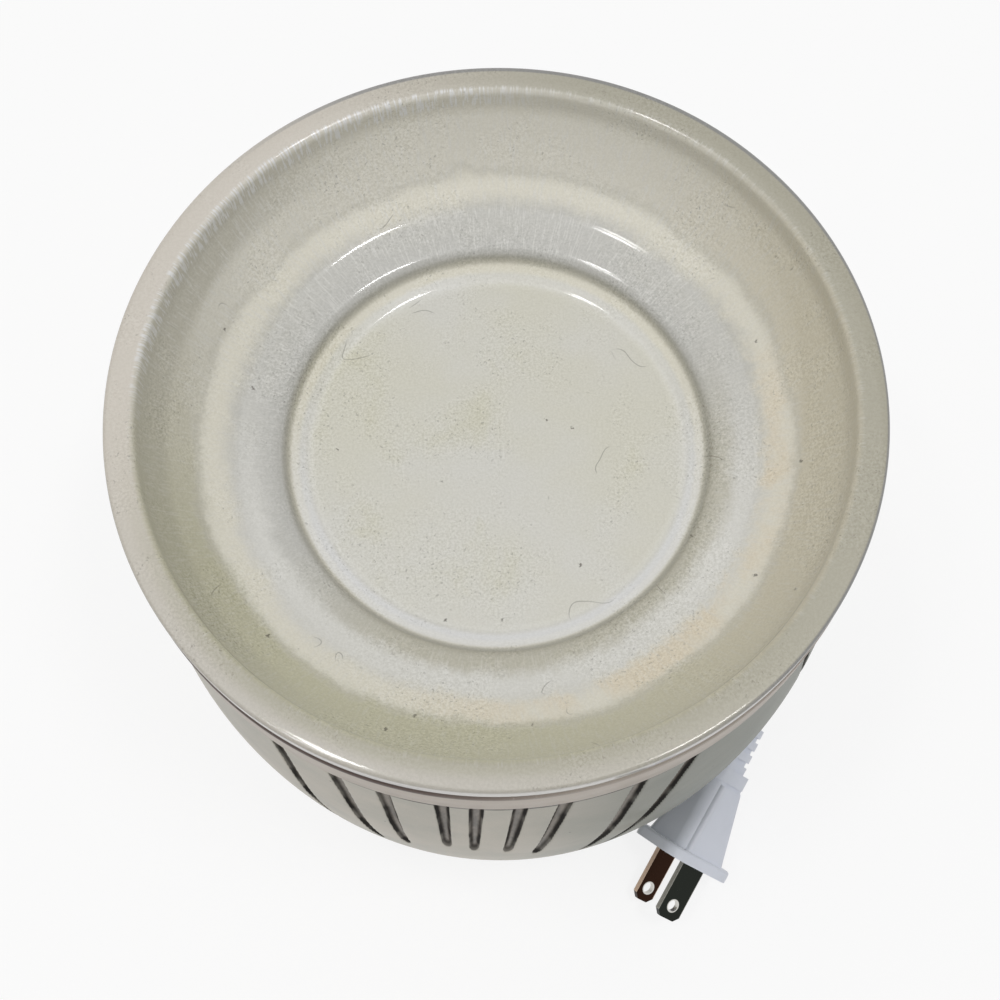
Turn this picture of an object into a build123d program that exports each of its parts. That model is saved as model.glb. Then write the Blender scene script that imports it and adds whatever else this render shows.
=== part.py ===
"""Electric wax melt warmer: a lift-off stepped dish on a fluted ceramic body.

Millimetres, +Z up. The origin is on the table, on the axis of the body, and
the front of the warmer looks along -Y.
"""
import os
from math import acos, atan2, cos, degrees, pi, radians, sin, sqrt, tan

from build123d import *

# Body
SEAT_Z = 152.5           # where the dish rests on the body
COLLAR_R = 80.2          # plain band below the dish
COLLAR_H = 13.2          # height of the plain band
COLLAR_T = 5.2           # wall of the plain band
NECK_IN = 0.7            # groove under the band, set in from it
NECK_H = 2.3             # height of that groove
BELLY_OUT = 2.2          # widest part, out from the band
BELLY_DROP = 60.5        # widest part below the seat
HIP_IN = 1.8             # set in from the belly, lower down
HIP_Z = 52.0
ANKLE_IN = 6.8           # set in from the belly, near the foot
ANKLE_Z = 25.0
WALL = 6.1               # wall at the belly
FOOT_R = 67.5            # outer edge of the foot ring
FOOT_Z = 2.0             # foot ring above the table
FOOT_W = 7.0             # width of the foot ring
LEDGE_W = 5.0            # ledge that stops the base plate
SHELF_W = 6.5            # shelf that carries the tray
SHELF_T = 7.5            # its straight inner face
SHELF_DROP = 4.8         # top of the shelf below the hot plate's top
# Dish
DISC_R = 40.0            # flat middle of the dish
DISH_DEEP = 22.5         # flat middle below the seat
DISH_T = 4.2             # thickness of the dish floor
DISH_GAP = 0.6           # dish spigot to mouth
SPIGOT_H = 3.5           # straight part of the spigot
BEAD_H = 6.5             # rim bead above the seat
BEAD_IN = 0.2            # rim bead set in from the band
RIM_W = 6.8              # width of the rim's top
LIP_R = 1.5              # rounding of the rim's inner edge
EDGE_R = 1.2             # rounding of the rim's outer edge
RIM_CROWN = 0.2          # crown of the rim's top
STEP_IN_W = 6.0          # flat middle to the crease of the inner step
STEP_IN_H = 3.0          # rise of the inner step
COVE_IN_H = 2.1          # rise of the cove before it
COVE_OUT_W = 6.0         # cove before the outer step
COVE_OUT_H = 3.5
STEP_OUT_W = 16.2        # crease of the outer step to the rim
STEP_OUT_H = 11.0        # that crease above the flat middle
# Flutes: one fan, repeated round the body
FANS = 4
FAN_TURN = -9.6          # middle of the front fan, from straight ahead
FLUTE_TOP = (-27.0, -16.8, -9.1, -0.2, 4.9, 11.4, 18.1, 29.6, 38.3)
FLUTE_END = (-20.7, -12.7, -7.5, -0.4, 3.8, 9.0, 13.6, 21.6, 26.6)
FLUTE_END_Z = (55.0, 70.0, 80.0, 91.0, 89.0, 87.0, 80.0, 53.0, 60.0)
FLUTE_W = 3.0
FLUTE_DEPTH = 1.1
# Heater
TRAY_AIR = 6.5           # tray cup to the shelf
TRAY_T = 2.5
TRAY_DEEP = 31.0         # tray floor below the shelf
TRAY_GAP = 0.6           # tray flange to mouth
TRAY_STEP = 4.0          # hot plate set in from the tray cup
TRAY_SEAT = 6.0          # seat of the hot plate
PLATE_T = 4.0
PLATE_GAP = 0.4          # hot plate to tray
ELEMENT_T = 3.0
PAD_T = 2.8
CLAMP_T = 1.2
RING_IN = 22.0
RING_OUT = 40.0
TAB = (26.0, 24.0)       # element tabs, mirrored in X
STAT = (14.0, 24.0)      # thermostat
ROD_R = 3.0
ROD_GAP = 0.1
HUB_R = 10.0             # hub of the tray round the rod
HUB_H = 10.0
WASHER_R = 6.5
WASHER_T = 1.2
NUT_W = 10.0             # across flats
NUT_H = 5.0
ROD_PAST = 1.0           # rod past its lower nut
SCREW_R = 1.5
HEAD_R = 2.8             # pan heads
HEAD_H = 2.2
BOSS_PITCH_R = 14.0      # clamp bosses on the hot plate
BOSS_R = 4.0
SCREW_GAP = 0.1          # screw in a clearance hole
SCREW_BITE = 0.03        # screw in a tapped hole
# Base
BASE_T = 1.5
BASE_Z = 6.0             # underside of the base plate
BASE_UP = 5.0            # raised middle
BASE_GAP = 0.5           # base plate to foot ring
PAD_R = 6.5
PAD_IN = 12.5            # pad centres to the foot ring
VENT_IN = 17.5           # air slot centres to the foot ring
VENT_L = 16.0
VENT_W = 3.2
BLOCK_IN = 9.5           # back of the terminal block to the foot ring
BLOCK_D = 18.0
BLOCK_W = 26.0
BLOCK_TOP = 28.0
LEAD_X = 6.0             # inner leads at the block
LEAD_R = 1.2
LEAD_RISE = 24.0         # inner leads above the block before they turn
LEAD_HANG = 14.0         # where they turn, below the tray
# Cord
CORD_R = 2.5
CORD_Z = 20.0            # where the cord leaves the body
BUSH_R = 6.5
BUSH_GAP = 0.1
BUSH_IN = 3.6            # spot face for the bushing flange, in from the skin
BUSH_L = 9.5             # bushing inside that face
COIL_C = (37.0, 133.0)
COIL_R = 38.5            # outer turn
COIL_PITCH = 6.4
COIL_LAYER = 6.0
COIL_TURNS = 3
COIL_Z = 3.5
TIE_T = 0.9
TIE_W = 8.0
# In-line switch
SW_X = 93.0
SW_Y = 65.0
SW_L = 62.0
SW_W = 24.0
SW_H = 18.0
SW_NECK = 7.0
SW_WALL = 1.8
ROCK_L = 18.6
ROCK_W = 12.0
ROCK_GAP = 0.5
ROCK_END_GAP = 1.4
ROCK_TILT = 8.0          # rest tilt of the rocker
PIVOT_R = 1.5
PIVOT_GAP = 0.05
# Plug
PLUG_O = (47.0, -77.3, 13.6)
PLUG_AXIS = (-0.52, -0.83, -0.2)
PLUG_SPREAD = (0.395, -0.513, 0.762)
PLUG_W = 23.0
PLUG_BODY_L = 25.0
PLUG_FLANGE = 3.2
BLADE_L = 15.9
BLADE_T = 1.5
BLADE_W = (6.35, 7.94)
BLADE_PITCH = 12.7
RELIEF_L = 15.0

MOUTH_R = COLLAR_R - COLLAR_T
DISH_R = COLLAR_R - BEAD_IN
NECK_R = COLLAR_R - NECK_IN
BELLY_R = COLLAR_R + BELLY_OUT
BELLY_Z = SEAT_Z - BELLY_DROP
HIP_R = BELLY_R - HIP_IN
ANKLE_R = BELLY_R - ANKLE_IN
FOOT_IN_R = FOOT_R - FOOT_W
FLUTE_TOP_Z = SEAT_Z - COLLAR_H - NECK_H
DISC_Z = SEAT_Z - DISH_DEEP
STEP_IN_R = DISC_R + STEP_IN_W
STEP_OUT_R = DISH_R - STEP_OUT_W
PLATE_TOP = DISC_Z - DISH_T
RIB_R = MOUTH_R - SHELF_W
RIB_Z = PLATE_TOP - SHELF_DROP
TRAY_R = RIB_R - TRAY_AIR
TRAY_FLOOR_Z = RIB_Z - TRAY_DEEP
PLATE_R = TRAY_R - TRAY_STEP
SEAT_R = PLATE_R - TRAY_SEAT
PAD_PITCH_R = FOOT_IN_R - PAD_IN
BLOCK_Y = (FOOT_IN_R - BLOCK_IN - BLOCK_D, FOOT_IN_R - BLOCK_IN)
LEAD_Y = BLOCK_Y[0] + 3.0
BUSH_Y = ANKLE_R - BUSH_IN
PLATE_Z = PLATE_TOP - PLATE_T
ELEMENT_Z = PLATE_Z - ELEMENT_T
INSUL_Z = ELEMENT_Z - PAD_T
CLAMP_Z = INSUL_Z - CLAMP_T
BASE_TOP = BASE_Z + BASE_T
SPIGOT_R = MOUTH_R - DISH_GAP
HUB_TOP = TRAY_FLOOR_Z + HUB_H
LEDGE_LOW = PLATE_Z - 4.8
STAT_Z = CLAMP_Z - 10.0
SPADE_Z = STAT_Z - 5.0
TAB_Z = CLAMP_Z - 2.3
FUSE_Z = TAB_Z - 12.0
COIL_END_TURNS = COIL_TURNS - 0.125
SW_MID = COIL_Z + COIL_LAYER
PIVOT_Z = SW_H - 5.0


def revolve_profile(edges):
    """Turn a closed profile in the XZ plane about the Z axis."""
    wire = Wire(edges)
    return Solid.revolve(Face(wire), 360, Axis.Z)


def at(r, z):
    """Point of the XZ half plane."""
    return Vector(r, 0, z)


def poly(points):
    """Straight edges through points of the half plane."""
    return [Edge.make_line(at(*a), at(*b)) for a, b in zip(points, points[1:])]


def arc(a, b, c):
    """Arc through three points of the half plane."""
    return Edge.make_three_point_arc(at(*a), at(*b), at(*c))


def spline(points, tangents=None):
    """Smooth edge through points of the half plane."""
    return Edge.make_spline([at(*p) for p in points], tangents=tangents)


def cyl(r, z0, z1, x=0.0, y=0.0):
    """Upright cylinder between two heights."""
    return Pos(x, y, (z0 + z1) / 2) * Cylinder(r, z1 - z0)


def ring(r0, r1, z0, z1):
    """Upright ring between two radii and two heights."""
    return cyl(r1, z0, z1) - cyl(r0, z0 - 1, z1 + 1)


def hexagon(af, z0, z1):
    """Upright hexagonal prism of a given width across flats."""
    return Pos(0, 0, z0) * extrude(RegularPolygon(af / 2, 6, major_radius=False), z1 - z0)


def barrel(inset):
    """Outer side of the body, set in by a radial amount."""
    pts = [
        (NECK_R - inset, FLUTE_TOP_Z + 0.4),
        (BELLY_R - inset, BELLY_Z),
        (HIP_R - inset, HIP_Z),
        (ANKLE_R - inset, ANKLE_Z),
        (FOOT_R + 2.3 - inset, FOOT_Z + 2.5),
    ]
    return pts


def on_round(middle, radius, angle):
    """Point on a rounding in the profile's plane, at an angle in degrees."""
    return (middle[0] + radius * cos(radians(angle)), middle[1] + radius * sin(radians(angle)))


def make_dish():
    """Stepped dish: flat middle, two coves and a flat-topped rim."""
    top = SEAT_Z + BEAD_H
    turn_in = (DISC_R + 0.9, DISC_Z)
    cove_in = (DISC_R + 2.4, DISC_Z + 0.4)
    b = (STEP_IN_R, DISC_Z + COVE_IN_H)
    shoulder = (STEP_IN_R + 3.4, b[1] + STEP_IN_H)
    d = (STEP_OUT_R, DISC_Z + STEP_OUT_H)
    cove_out = (d[0] - COVE_OUT_W, d[1] - COVE_OUT_H)
    run = cove_out[0] - shoulder[0]
    turn_out = (cove_out[0] - 0.21 * run, cove_out[1] - 0.8)
    bend = (cove_out[0] - 0.11 * run, cove_out[1] - 0.48)
    edges = poly([(0, DISC_Z - DISH_T), (0, DISC_Z), turn_in])
    edges.append(arc(turn_in, (DISC_R + 1.7, DISC_Z + 0.1), cove_in))
    edges += poly([cove_in, b])
    edges.append(arc(b, (STEP_IN_R + 1.0, b[1] + 0.6 * STEP_IN_H), shoulder))
    edges += poly([shoulder, turn_out])
    edges.append(arc(turn_out, bend, cove_out))
    edges += poly([cove_out, d])
    lip = (DISH_R - RIM_W, SEAT_Z + 1.1)
    edges.append(arc(d, (STEP_OUT_R + 4.6, d[1] + 5.3), lip))
    lip_mid = (lip[0] + 0.3 + LIP_R, top - RIM_CROWN - LIP_R)
    edge_mid = (DISH_R - EDGE_R, top - RIM_CROWN - EDGE_R)
    lip_side = on_round(lip_mid, LIP_R, 180)
    lip_top = on_round(lip_mid, LIP_R, 102)
    edge_top = on_round(edge_mid, EDGE_R, 78)
    edge_side = on_round(edge_mid, EDGE_R, 0)
    edges += poly([lip, lip_side])
    edges.append(arc(lip_side, on_round(lip_mid, LIP_R, 135), lip_top))
    edges.append(arc(lip_top, ((lip_top[0] + edge_top[0]) / 2, top), edge_top))
    edges.append(arc(edge_top, on_round(edge_mid, EDGE_R, 45), edge_side))
    turn_under = (DISH_R, SEAT_Z + 2.2)
    foot = (DISH_R - 0.8, SEAT_Z)
    edges += poly([edge_side, turn_under])
    edges.append(arc(turn_under, (DISH_R - 0.2, SEAT_Z + 0.9), foot))
    edges += poly([foot, (SPIGOT_R, SEAT_Z), (SPIGOT_R, SEAT_Z - SPIGOT_H)])
    under = [
        (SPIGOT_R, SEAT_Z - SPIGOT_H),
        (SPIGOT_R - 4.0, PLATE_TOP + 15.2),
        (STEP_OUT_R + 1.2, PLATE_TOP + 10.0),
        (STEP_OUT_R - 7.3, PLATE_TOP + 6.0),
        (STEP_IN_R + 3.0, PLATE_TOP + 2.6),
        (DISC_R + 3.5, PLATE_TOP),
    ]
    edges.append(spline(under))
    edges += poly([under[-1], (0, PLATE_TOP)])
    return revolve_profile(edges)


def make_body():
    """Cast shell with a plain band, fans of carved flutes and a cord hole."""
    band_low = SEAT_Z - COLLAR_H
    pts = barrel(0)
    edges = poly([(MOUTH_R, SEAT_Z), (COLLAR_R - 1.2, SEAT_Z)])
    edges.append(arc((COLLAR_R - 1.2, SEAT_Z), (COLLAR_R - 0.35, SEAT_Z - 0.35), (COLLAR_R, SEAT_Z - 1.2)))
    edges += poly([(COLLAR_R, SEAT_Z - 1.2), (COLLAR_R, band_low), (COLLAR_R - 1.3, band_low - 0.9), pts[0]])
    edges.append(spline(pts))
    edges.append(arc(pts[-1], (FOOT_R + 1.3, FOOT_Z + 0.7), (FOOT_R - 0.6, FOOT_Z)))
    inside = [
        (FOOT_R - 0.6, FOOT_Z),
        (FOOT_IN_R, FOOT_Z),
        (FOOT_IN_R, BASE_TOP),
        (FOOT_IN_R - LEDGE_W, BASE_TOP),
        (FOOT_IN_R - LEDGE_W, BASE_TOP + 5.0),
        (FOOT_IN_R + 3.0, BASE_TOP + 10.5),
    ]
    edges += poly(inside)
    wall = [
        inside[-1],
        (ANKLE_R - WALL + 0.3, ANKLE_Z + 5.0),
        (HIP_R - WALL + 0.1, HIP_Z + 2.0),
        (BELLY_R - WALL, BELLY_Z),
        (BELLY_R - WALL - 1.7, RIB_Z - SHELF_T - 6.5),
    ]
    edges.append(spline(wall))
    edges += poly([wall[-1], (RIB_R, RIB_Z - SHELF_T), (RIB_R, RIB_Z), (MOUTH_R, RIB_Z), (MOUTH_R, SEAT_Z)])
    shell = revolve_profile(edges)
    skin_in = barrel(FLUTE_DEPTH)
    skin_edges = [spline(skin_in)]
    clear = max(r for r, _ in pts) + 8.0
    skin_edges += poly([skin_in[-1], (clear, skin_in[-1][1]), (clear, skin_in[0][1]), skin_in[0]])
    skin = revolve_profile(skin_edges)
    cuts = []
    for a_top, a_end, z_end in zip(FLUTE_TOP, FLUTE_END, FLUTE_END_Z):
        mid = (a_top + a_end) / 2
        half = BELLY_R * radians(a_top - a_end) / 2
        span = FLUTE_TOP_Z + 0.4 - z_end
        lean = degrees(atan2(2 * half, span))
        run = sqrt(4 * half * half + span * span)
        bar = Pos(0, run / 2 + 2) * Rectangle(FLUTE_W, run + 4) + Circle(FLUTE_W / 2)
        spot = Plane(origin=(0, 20 - clear, 0), x_dir=(1, 0, 0), z_dir=(0, -1, 0))
        shape = Pos(-half, z_end) * Rot(0, 0, -lean) * bar
        prism = extrude(spot * shape, 20)
        cuts.append(Rot(0, 0, mid + FAN_TURN) * prism & skin)
    for k in range(FANS):
        turned = [Rot(0, 0, 360.0 * k / FANS) * c for c in cuts]
        shell = shell - turned
    hole = Pos(0, BUSH_Y, CORD_Z) * Rot(90, 0, 0) * Cylinder(BUSH_R + BUSH_GAP, 60)
    face = Pos(0, BUSH_Y + 15, CORD_Z) * Rot(90, 0, 0) * Cylinder(BUSH_R + 4.0, 30)
    near = Pos(0, BUSH_Y + 3, CORD_Z) * Box(60, 60, 60)
    return shell - (hole & near) - face


def ring_points(radius, angles):
    """Points on a circle about the axis."""
    return [(radius * cos(radians(a)), radius * sin(radians(a))) for a in angles]


def screw(x, y, head_z, head_h, tip_z, head_r=HEAD_R, shank_r=SCREW_R):
    """Pan-head screw driven upwards, head below."""
    return cyl(head_r, head_z, head_z + head_h, x, y) + cyl(shank_r, head_z + head_h, tip_z, x, y)


BOSS_SPOTS = ring_points(BOSS_PITCH_R, (30, 150, 270))
LEDGE_SPOTS = ring_points(SEAT_R + TRAY_SEAT / 2, (90, 210, 330))
LEAD_HOLES = ((STAT[0] - 4.0, STAT[1]), (-TAB[0], TAB[1]))
EARS = ((STAT[0] + 5.25, STAT[1] + 9.1), (STAT[0] - 5.25, STAT[1] - 9.1))


def make_tray():
    """Moulded cup that hangs on the shelf and carries the hot plate."""
    bore = ROD_R + ROD_GAP
    pts = [
        (bore, TRAY_FLOOR_Z),
        (TRAY_R, TRAY_FLOOR_Z),
        (TRAY_R, RIB_Z),
        (MOUTH_R - TRAY_GAP, RIB_Z),
        (MOUTH_R - TRAY_GAP, RIB_Z + TRAY_T),
        (TRAY_R + 1.5, RIB_Z + TRAY_T),
        (TRAY_R + 1.5, PLATE_TOP - 1.0),
        (PLATE_R + PLATE_GAP, PLATE_TOP - 1.0),
        (PLATE_R + PLATE_GAP, PLATE_Z),
        (SEAT_R, PLATE_Z),
        (SEAT_R, LEDGE_LOW),
        (TRAY_R - TRAY_T, LEDGE_LOW),
        (TRAY_R - TRAY_T, TRAY_FLOOR_Z + TRAY_T),
        (HUB_R, TRAY_FLOOR_Z + TRAY_T),
        (HUB_R, HUB_TOP),
        (bore, HUB_TOP),
        (bore, TRAY_FLOOR_Z),
    ]
    tray = revolve_profile(poly(pts))
    for x, y in LEAD_HOLES:
        tray = tray - cyl(3.0, TRAY_FLOOR_Z - 1, TRAY_FLOOR_Z + TRAY_T + 1, x, y)
    for x, y in LEDGE_SPOTS:
        tray = tray - cyl(SCREW_R + SCREW_GAP, LEDGE_LOW - 1, PLATE_Z + 1, x, y)
    for x, y in ring_points(36.0, (200, 235, 270, 305, 340)):
        tray = tray - cyl(3.0, TRAY_FLOOR_Z - 1, TRAY_FLOOR_Z + TRAY_T + 1, x, y)
    return tray


def make_hot_plate():
    """Cast plate with three bosses for the clamp and three blind holes."""
    plate = cyl(PLATE_R, PLATE_Z, PLATE_TOP)
    plate = chamfer(plate.edges().group_by(Axis.Z)[-1], 0.6)
    for x, y in BOSS_SPOTS:
        plate = plate + cyl(BOSS_R, INSUL_Z, PLATE_Z, x, y)
    for x, y in BOSS_SPOTS:
        plate = plate - cyl(SCREW_R - SCREW_BITE, INSUL_Z - 1, PLATE_Z + 1.0, x, y)
    for x, y in LEDGE_SPOTS:
        plate = plate - cyl(SCREW_R - SCREW_BITE, PLATE_Z - 1, PLATE_TOP - 1.2, x, y)
    return plate


def make_heater():
    """Ring element, insulation, clamp plate and their screws."""
    tabs = [(TAB[0], TAB[1]), (-TAB[0], TAB[1])]
    element = ring(RING_IN, RING_OUT, ELEMENT_Z, PLATE_Z)
    insul = ring(RING_IN - 2, RING_OUT + 2, INSUL_Z, ELEMENT_Z)
    clamp = ring(8.0, RING_OUT + 4, CLAMP_Z, INSUL_Z)
    for x, y in tabs:
        element = element + cyl(1.6, TAB_Z, ELEMENT_Z, x, y)
        insul = insul - cyl(2.4, INSUL_Z - 1, ELEMENT_Z + 1, x, y)
        clamp = clamp - cyl(2.4, CLAMP_Z - 1, INSUL_Z + 1, x, y)
    for x, y in BOSS_SPOTS:
        clamp = clamp - cyl(SCREW_R + SCREW_GAP, CLAMP_Z - 1, INSUL_Z + 1, x, y)
    for x, y in EARS:
        clamp = clamp - cyl(1.0, CLAMP_Z - 1, INSUL_Z + 1, x, y)
    clamp_screws = [screw(x, y, CLAMP_Z - HEAD_H, HEAD_H, PLATE_Z - 1.0) for x, y in BOSS_SPOTS]
    plate_screws = [screw(x, y, LEDGE_LOW - HEAD_H, HEAD_H, PLATE_TOP - 1.6) for x, y in LEDGE_SPOTS]
    return {
        "heating_element": element,
        "insulation_pad": insul,
        "clamp_plate": clamp,
        "clamp_screws": Compound(clamp_screws),
        "plate_screws": Compound(plate_screws),
    }


def make_stat():
    """Snap-disc thermostat on two ears, its screws and the thermal fuse."""
    x, y = STAT
    body = cyl(8.0, STAT_Z, CLAMP_Z - 1.0, x, y)
    turn = degrees(atan2(EARS[0][1] - y, EARS[0][0] - x))
    ear = Pos(x, y, CLAMP_Z - 1.0) * Rot(0, 0, turn) * extrude(SlotCenterToCenter(21.0, 7.0), 1.0)
    for ex, ey in EARS:
        ear = ear - cyl(1.1, CLAMP_Z - 2, CLAMP_Z + 1, ex, ey)
    stat = body + ear
    for side in (-4.0, 4.0):
        stat = stat + Pos(x + side, y, (SPADE_Z + STAT_Z) / 2) * Box(0.8, 4.0, STAT_Z - SPADE_Z)
    screws = [screw(ex, ey, CLAMP_Z - 2.4, 1.4, INSUL_Z, 2.0, 1.0 + SCREW_BITE) for ex, ey in EARS]
    fuse = cyl(2.2, FUSE_Z, TAB_Z, -TAB[0], TAB[1])
    fuse = chamfer(fuse.edges().filter_by(GeomType.CIRCLE), 0.4)
    return {"thermostat": stat, "thermostat_screws": Compound(screws), "thermal_fuse": fuse}


def make_rod():
    """Tie rod that clamps the shell, with a washer and a nut at each end."""
    low = BASE_Z + BASE_UP
    stack = WASHER_T + NUT_H
    rod = cyl(ROD_R, low - stack - ROD_PAST, HUB_TOP + stack + 1.8 * ROD_PAST)
    rod = chamfer(rod.edges().filter_by(GeomType.CIRCLE), 0.5)
    bore = ROD_R + ROD_GAP
    washers = [ring(bore, WASHER_R, z, z + WASHER_T) for z in (low - WASHER_T, HUB_TOP)]
    nuts = []
    for z in (low - stack, HUB_TOP + WASHER_T):
        nuts.append(hexagon(NUT_W, z, z + NUT_H) - cyl(ROD_R - SCREW_BITE, z - 1, z + NUT_H + 1))
    return {"tie_rod": rod, "rod_washers": Compound(washers), "rod_nuts": Compound(nuts)}


def make_base():
    """Pressed base plate with a raised middle, air slots and rubber feet."""
    bore = ROD_R + ROD_GAP
    up = BASE_Z + BASE_UP
    rim = FOOT_IN_R - BASE_GAP
    pts = [
        (bore, up),
        (20.0, up),
        (26.0, BASE_Z),
        (rim, BASE_Z),
        (rim, BASE_TOP),
        (26.6, BASE_TOP),
        (20.6, up + BASE_T),
        (bore, up + BASE_T),
        (bore, up),
    ]
    plate = revolve_profile(poly(pts))
    slot = extrude(SlotOverall(VENT_L, VENT_W), 10)
    for a in (-20, 0, 20, 160, 180, 200, 250, 270, 290):
        plate = plate - Rot(0, 0, a) * Pos(FOOT_IN_R - VENT_IN, 0, BASE_Z - 4) * slot
    foot = Pos(0, 0, BASE_Z / 2) * Cone(PAD_R - 1.0, PAD_R, BASE_Z)
    foot = fillet(foot.edges().group_by(Axis.Z)[0], 0.8)
    feet = [Pos(x, y, 0) * foot for x, y in ring_points(PAD_PITCH_R, (45, 135, 225, 315))]
    return {"base_plate": plate, "rubber_feet": Compound(feet)}


def make_block():
    """Two-pole terminal block and its screws."""
    y0, y1 = BLOCK_Y
    block = Pos(0, (y0 + y1) / 2, (BASE_TOP + BLOCK_TOP) / 2) * Box(BLOCK_W, y1 - y0, BLOCK_TOP - BASE_TOP)
    block = chamfer(block.edges().filter_by(Axis.Z), 1.2)
    y_screw = y0 + 11.0
    screws = []
    for x in (-LEAD_X, LEAD_X):
        block = block - cyl(2.8, BLOCK_TOP - 3.0, BLOCK_TOP + 1, x, y_screw)
        block = block - cyl(SCREW_R - SCREW_BITE, BLOCK_TOP - 11.0, BLOCK_TOP, x, y_screw)
        head = cyl(2.4, BLOCK_TOP - 3.0, BLOCK_TOP - 0.8, x, y_screw)
        head = head - Pos(x, y_screw, BLOCK_TOP - 0.8) * Box(6.0, 0.8, 1.4)
        screws.append(head + cyl(SCREW_R, BLOCK_TOP - 10.0, BLOCK_TOP - 3.0, x, y_screw))
    return {"terminal_block": block, "terminal_screws": Compound(screws)}


def make_bushing():
    """Strain-relief bushing in the back wall, with a ribbed tail."""
    pts = [
        (CORD_R - 0.05, 0.0),
        (BUSH_R, 0.0),
        (BUSH_R, BUSH_L),
        (BUSH_R + 2.5, BUSH_L),
        (BUSH_R + 2.5, BUSH_L + 2.5),
        (BUSH_R + 1.9, BUSH_L + 3.2),
        (BUSH_R - 0.9, BUSH_L + 3.2),
    ]
    y = BUSH_L + 3.2
    r = BUSH_R - 0.9
    for _ in range(3):
        pts += [(r, y + 1.4), (r - 0.9, y + 1.4), (r - 0.9, y + 2.4), (r - 0.25, y + 2.4)]
        y += 2.4
        r -= 0.25
    pts += [(r, y + 2.2), (CORD_R - 0.05, y + 2.2), (CORD_R - 0.05, 0.0)]
    turned = revolve_profile(poly(pts))
    return Pos(0, BUSH_Y - BUSH_L, CORD_Z) * Rot(-90, 0, 0) * turned


def bend_radii(points):
    """Largest tangent arc at each corner that leaves straight runs."""
    radii = []
    for a, b, c in zip(points, points[1:], points[2:]):
        u = Vector(*b) - Vector(*a)
        v = Vector(*c) - Vector(*b)
        turn = acos(max(-1.0, min(1.0, u.normalized().dot(v.normalized()))))
        radii.append(round(0.45 * min(u.length, v.length) / tan(turn / 2), 2))
    return radii


def tube(points, radius, radii=None):
    """Tube along straight runs with tangent arcs."""
    bends = radii or bend_radii(points)
    path = FilletPolyline(*points, radius=bends)
    section = Plane(origin=path @ 0, z_dir=path % 0) * Circle(radius)
    solid = sweep(section, path=path)
    ratio = solid.volume / (pi * radius * radius * path.length)
    print("tube bends", bends, "length", round(path.length, 1), "volume ratio", round(ratio, 4))
    return solid


def biarc(p0, t0, p1, t1):
    """Two tangent arcs between two points with given directions."""
    v = p1 - p0
    both = t0 + t1
    k = 2 * (1 - t0.dot(t1))
    if k < 1e-9:
        d = v.dot(v) / (2 * v.dot(both))
    else:
        d = (-v.dot(both) * 2 + sqrt(4 * v.dot(both) ** 2 + 4 * k * v.dot(v))) / (2 * k)
    q0 = p0 + t0 * d
    q1 = p1 - t1 * d
    joint = (q0 + q1) * 0.5
    return [half_arc(p0, q0, joint), half_arc(joint, q1, p1)]


def half_arc(start, corner, end):
    """Arc that touches both sides of an equal-sided corner."""
    mid = (start + end) * 0.5
    rise = corner - mid
    half = (end - start).length / 2
    side = (corner - start).length
    if rise.length < 1e-6:
        return Edge.make_line(start, end)
    radius = half * side / rise.length
    sag = radius - sqrt(radius * radius - half * half)
    return Edge.make_three_point_arc(start, mid + rise.normalized() * sag, end)


def coil_point(turn):
    """Point of the coil's middle line after a number of turns."""
    inner = COIL_R - COIL_PITCH * COIL_TURNS
    if turn <= COIL_TURNS:
        r = COIL_R - COIL_PITCH * turn
        z = COIL_Z
    elif turn <= COIL_TURNS + 0.5:
        r = inner
        f = (turn - COIL_TURNS) / 0.5
        z = COIL_Z + COIL_LAYER * f * f * (3 - 2 * f)
    else:
        r = inner + COIL_PITCH * (turn - COIL_TURNS - 0.5)
        z = COIL_Z + COIL_LAYER
    a = pi - 2 * pi * turn
    return Vector(COIL_C[0] + r * cos(a), COIL_C[1] + r * sin(a), z)


def make_coil():
    """Put-away length: spirals in, climbs a layer, spirals out again."""
    last = COIL_TURNS + 0.5 + COIL_END_TURNS
    knots = [0.25 * k for k in range(int(last / 0.25) + 1)]
    if last - knots[-1] > 1e-6:
        knots.append(last)
    eps = 1e-4
    pts = [coil_point(t) for t in knots]
    dirs = []
    for t in knots:
        d = coil_point(min(t + eps, last)) - coil_point(max(t - eps, 0.0))
        dirs.append(Vector(d.X, d.Y, d.Z).normalized())
    dirs[0] = Vector(0, 1, 0)
    a = pi - 2 * pi * last
    dirs[-1] = Vector(sin(a), -cos(a), 0)
    edges = []
    lead_in = Vector(*pts[0]) - dirs[0] * (2 * CORD_R)
    edges.append(Edge.make_line(lead_in, pts[0]))
    for i in range(len(pts) - 1):
        edges += biarc(pts[i], dirs[i], pts[i + 1], dirs[i + 1])
    lead_out = pts[-1] + dirs[-1] * (2 * CORD_R)
    edges.append(Edge.make_line(pts[-1], lead_out))
    path = Wire(edges)
    section = Plane(origin=lead_in, z_dir=dirs[0]) * Circle(CORD_R)
    solid = sweep(section, path=path)
    samples = []
    for e in edges:
        n = max(2, int(e.length / 1.5))
        samples += [e @ (k / n) for k in range(n)]
    run = [0.0]
    for p, q in zip(samples, samples[1:]):
        run.append(run[-1] + (q - p).length)
    least = 1e9
    for i in range(len(samples)):
        for j in range(i + 1, len(samples)):
            if run[j] - run[i] > 40.0:
                least = min(least, (samples[j] - samples[i]).length)
    ratio = solid.volume / (pi * CORD_R ** 2 * path.length)
    print("coil length", round(path.length, 1), "least self gap", round(least - 2 * CORD_R, 2), "ratio", round(ratio, 4))
    return solid, lead_in, lead_out, dirs[-1]


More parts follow.
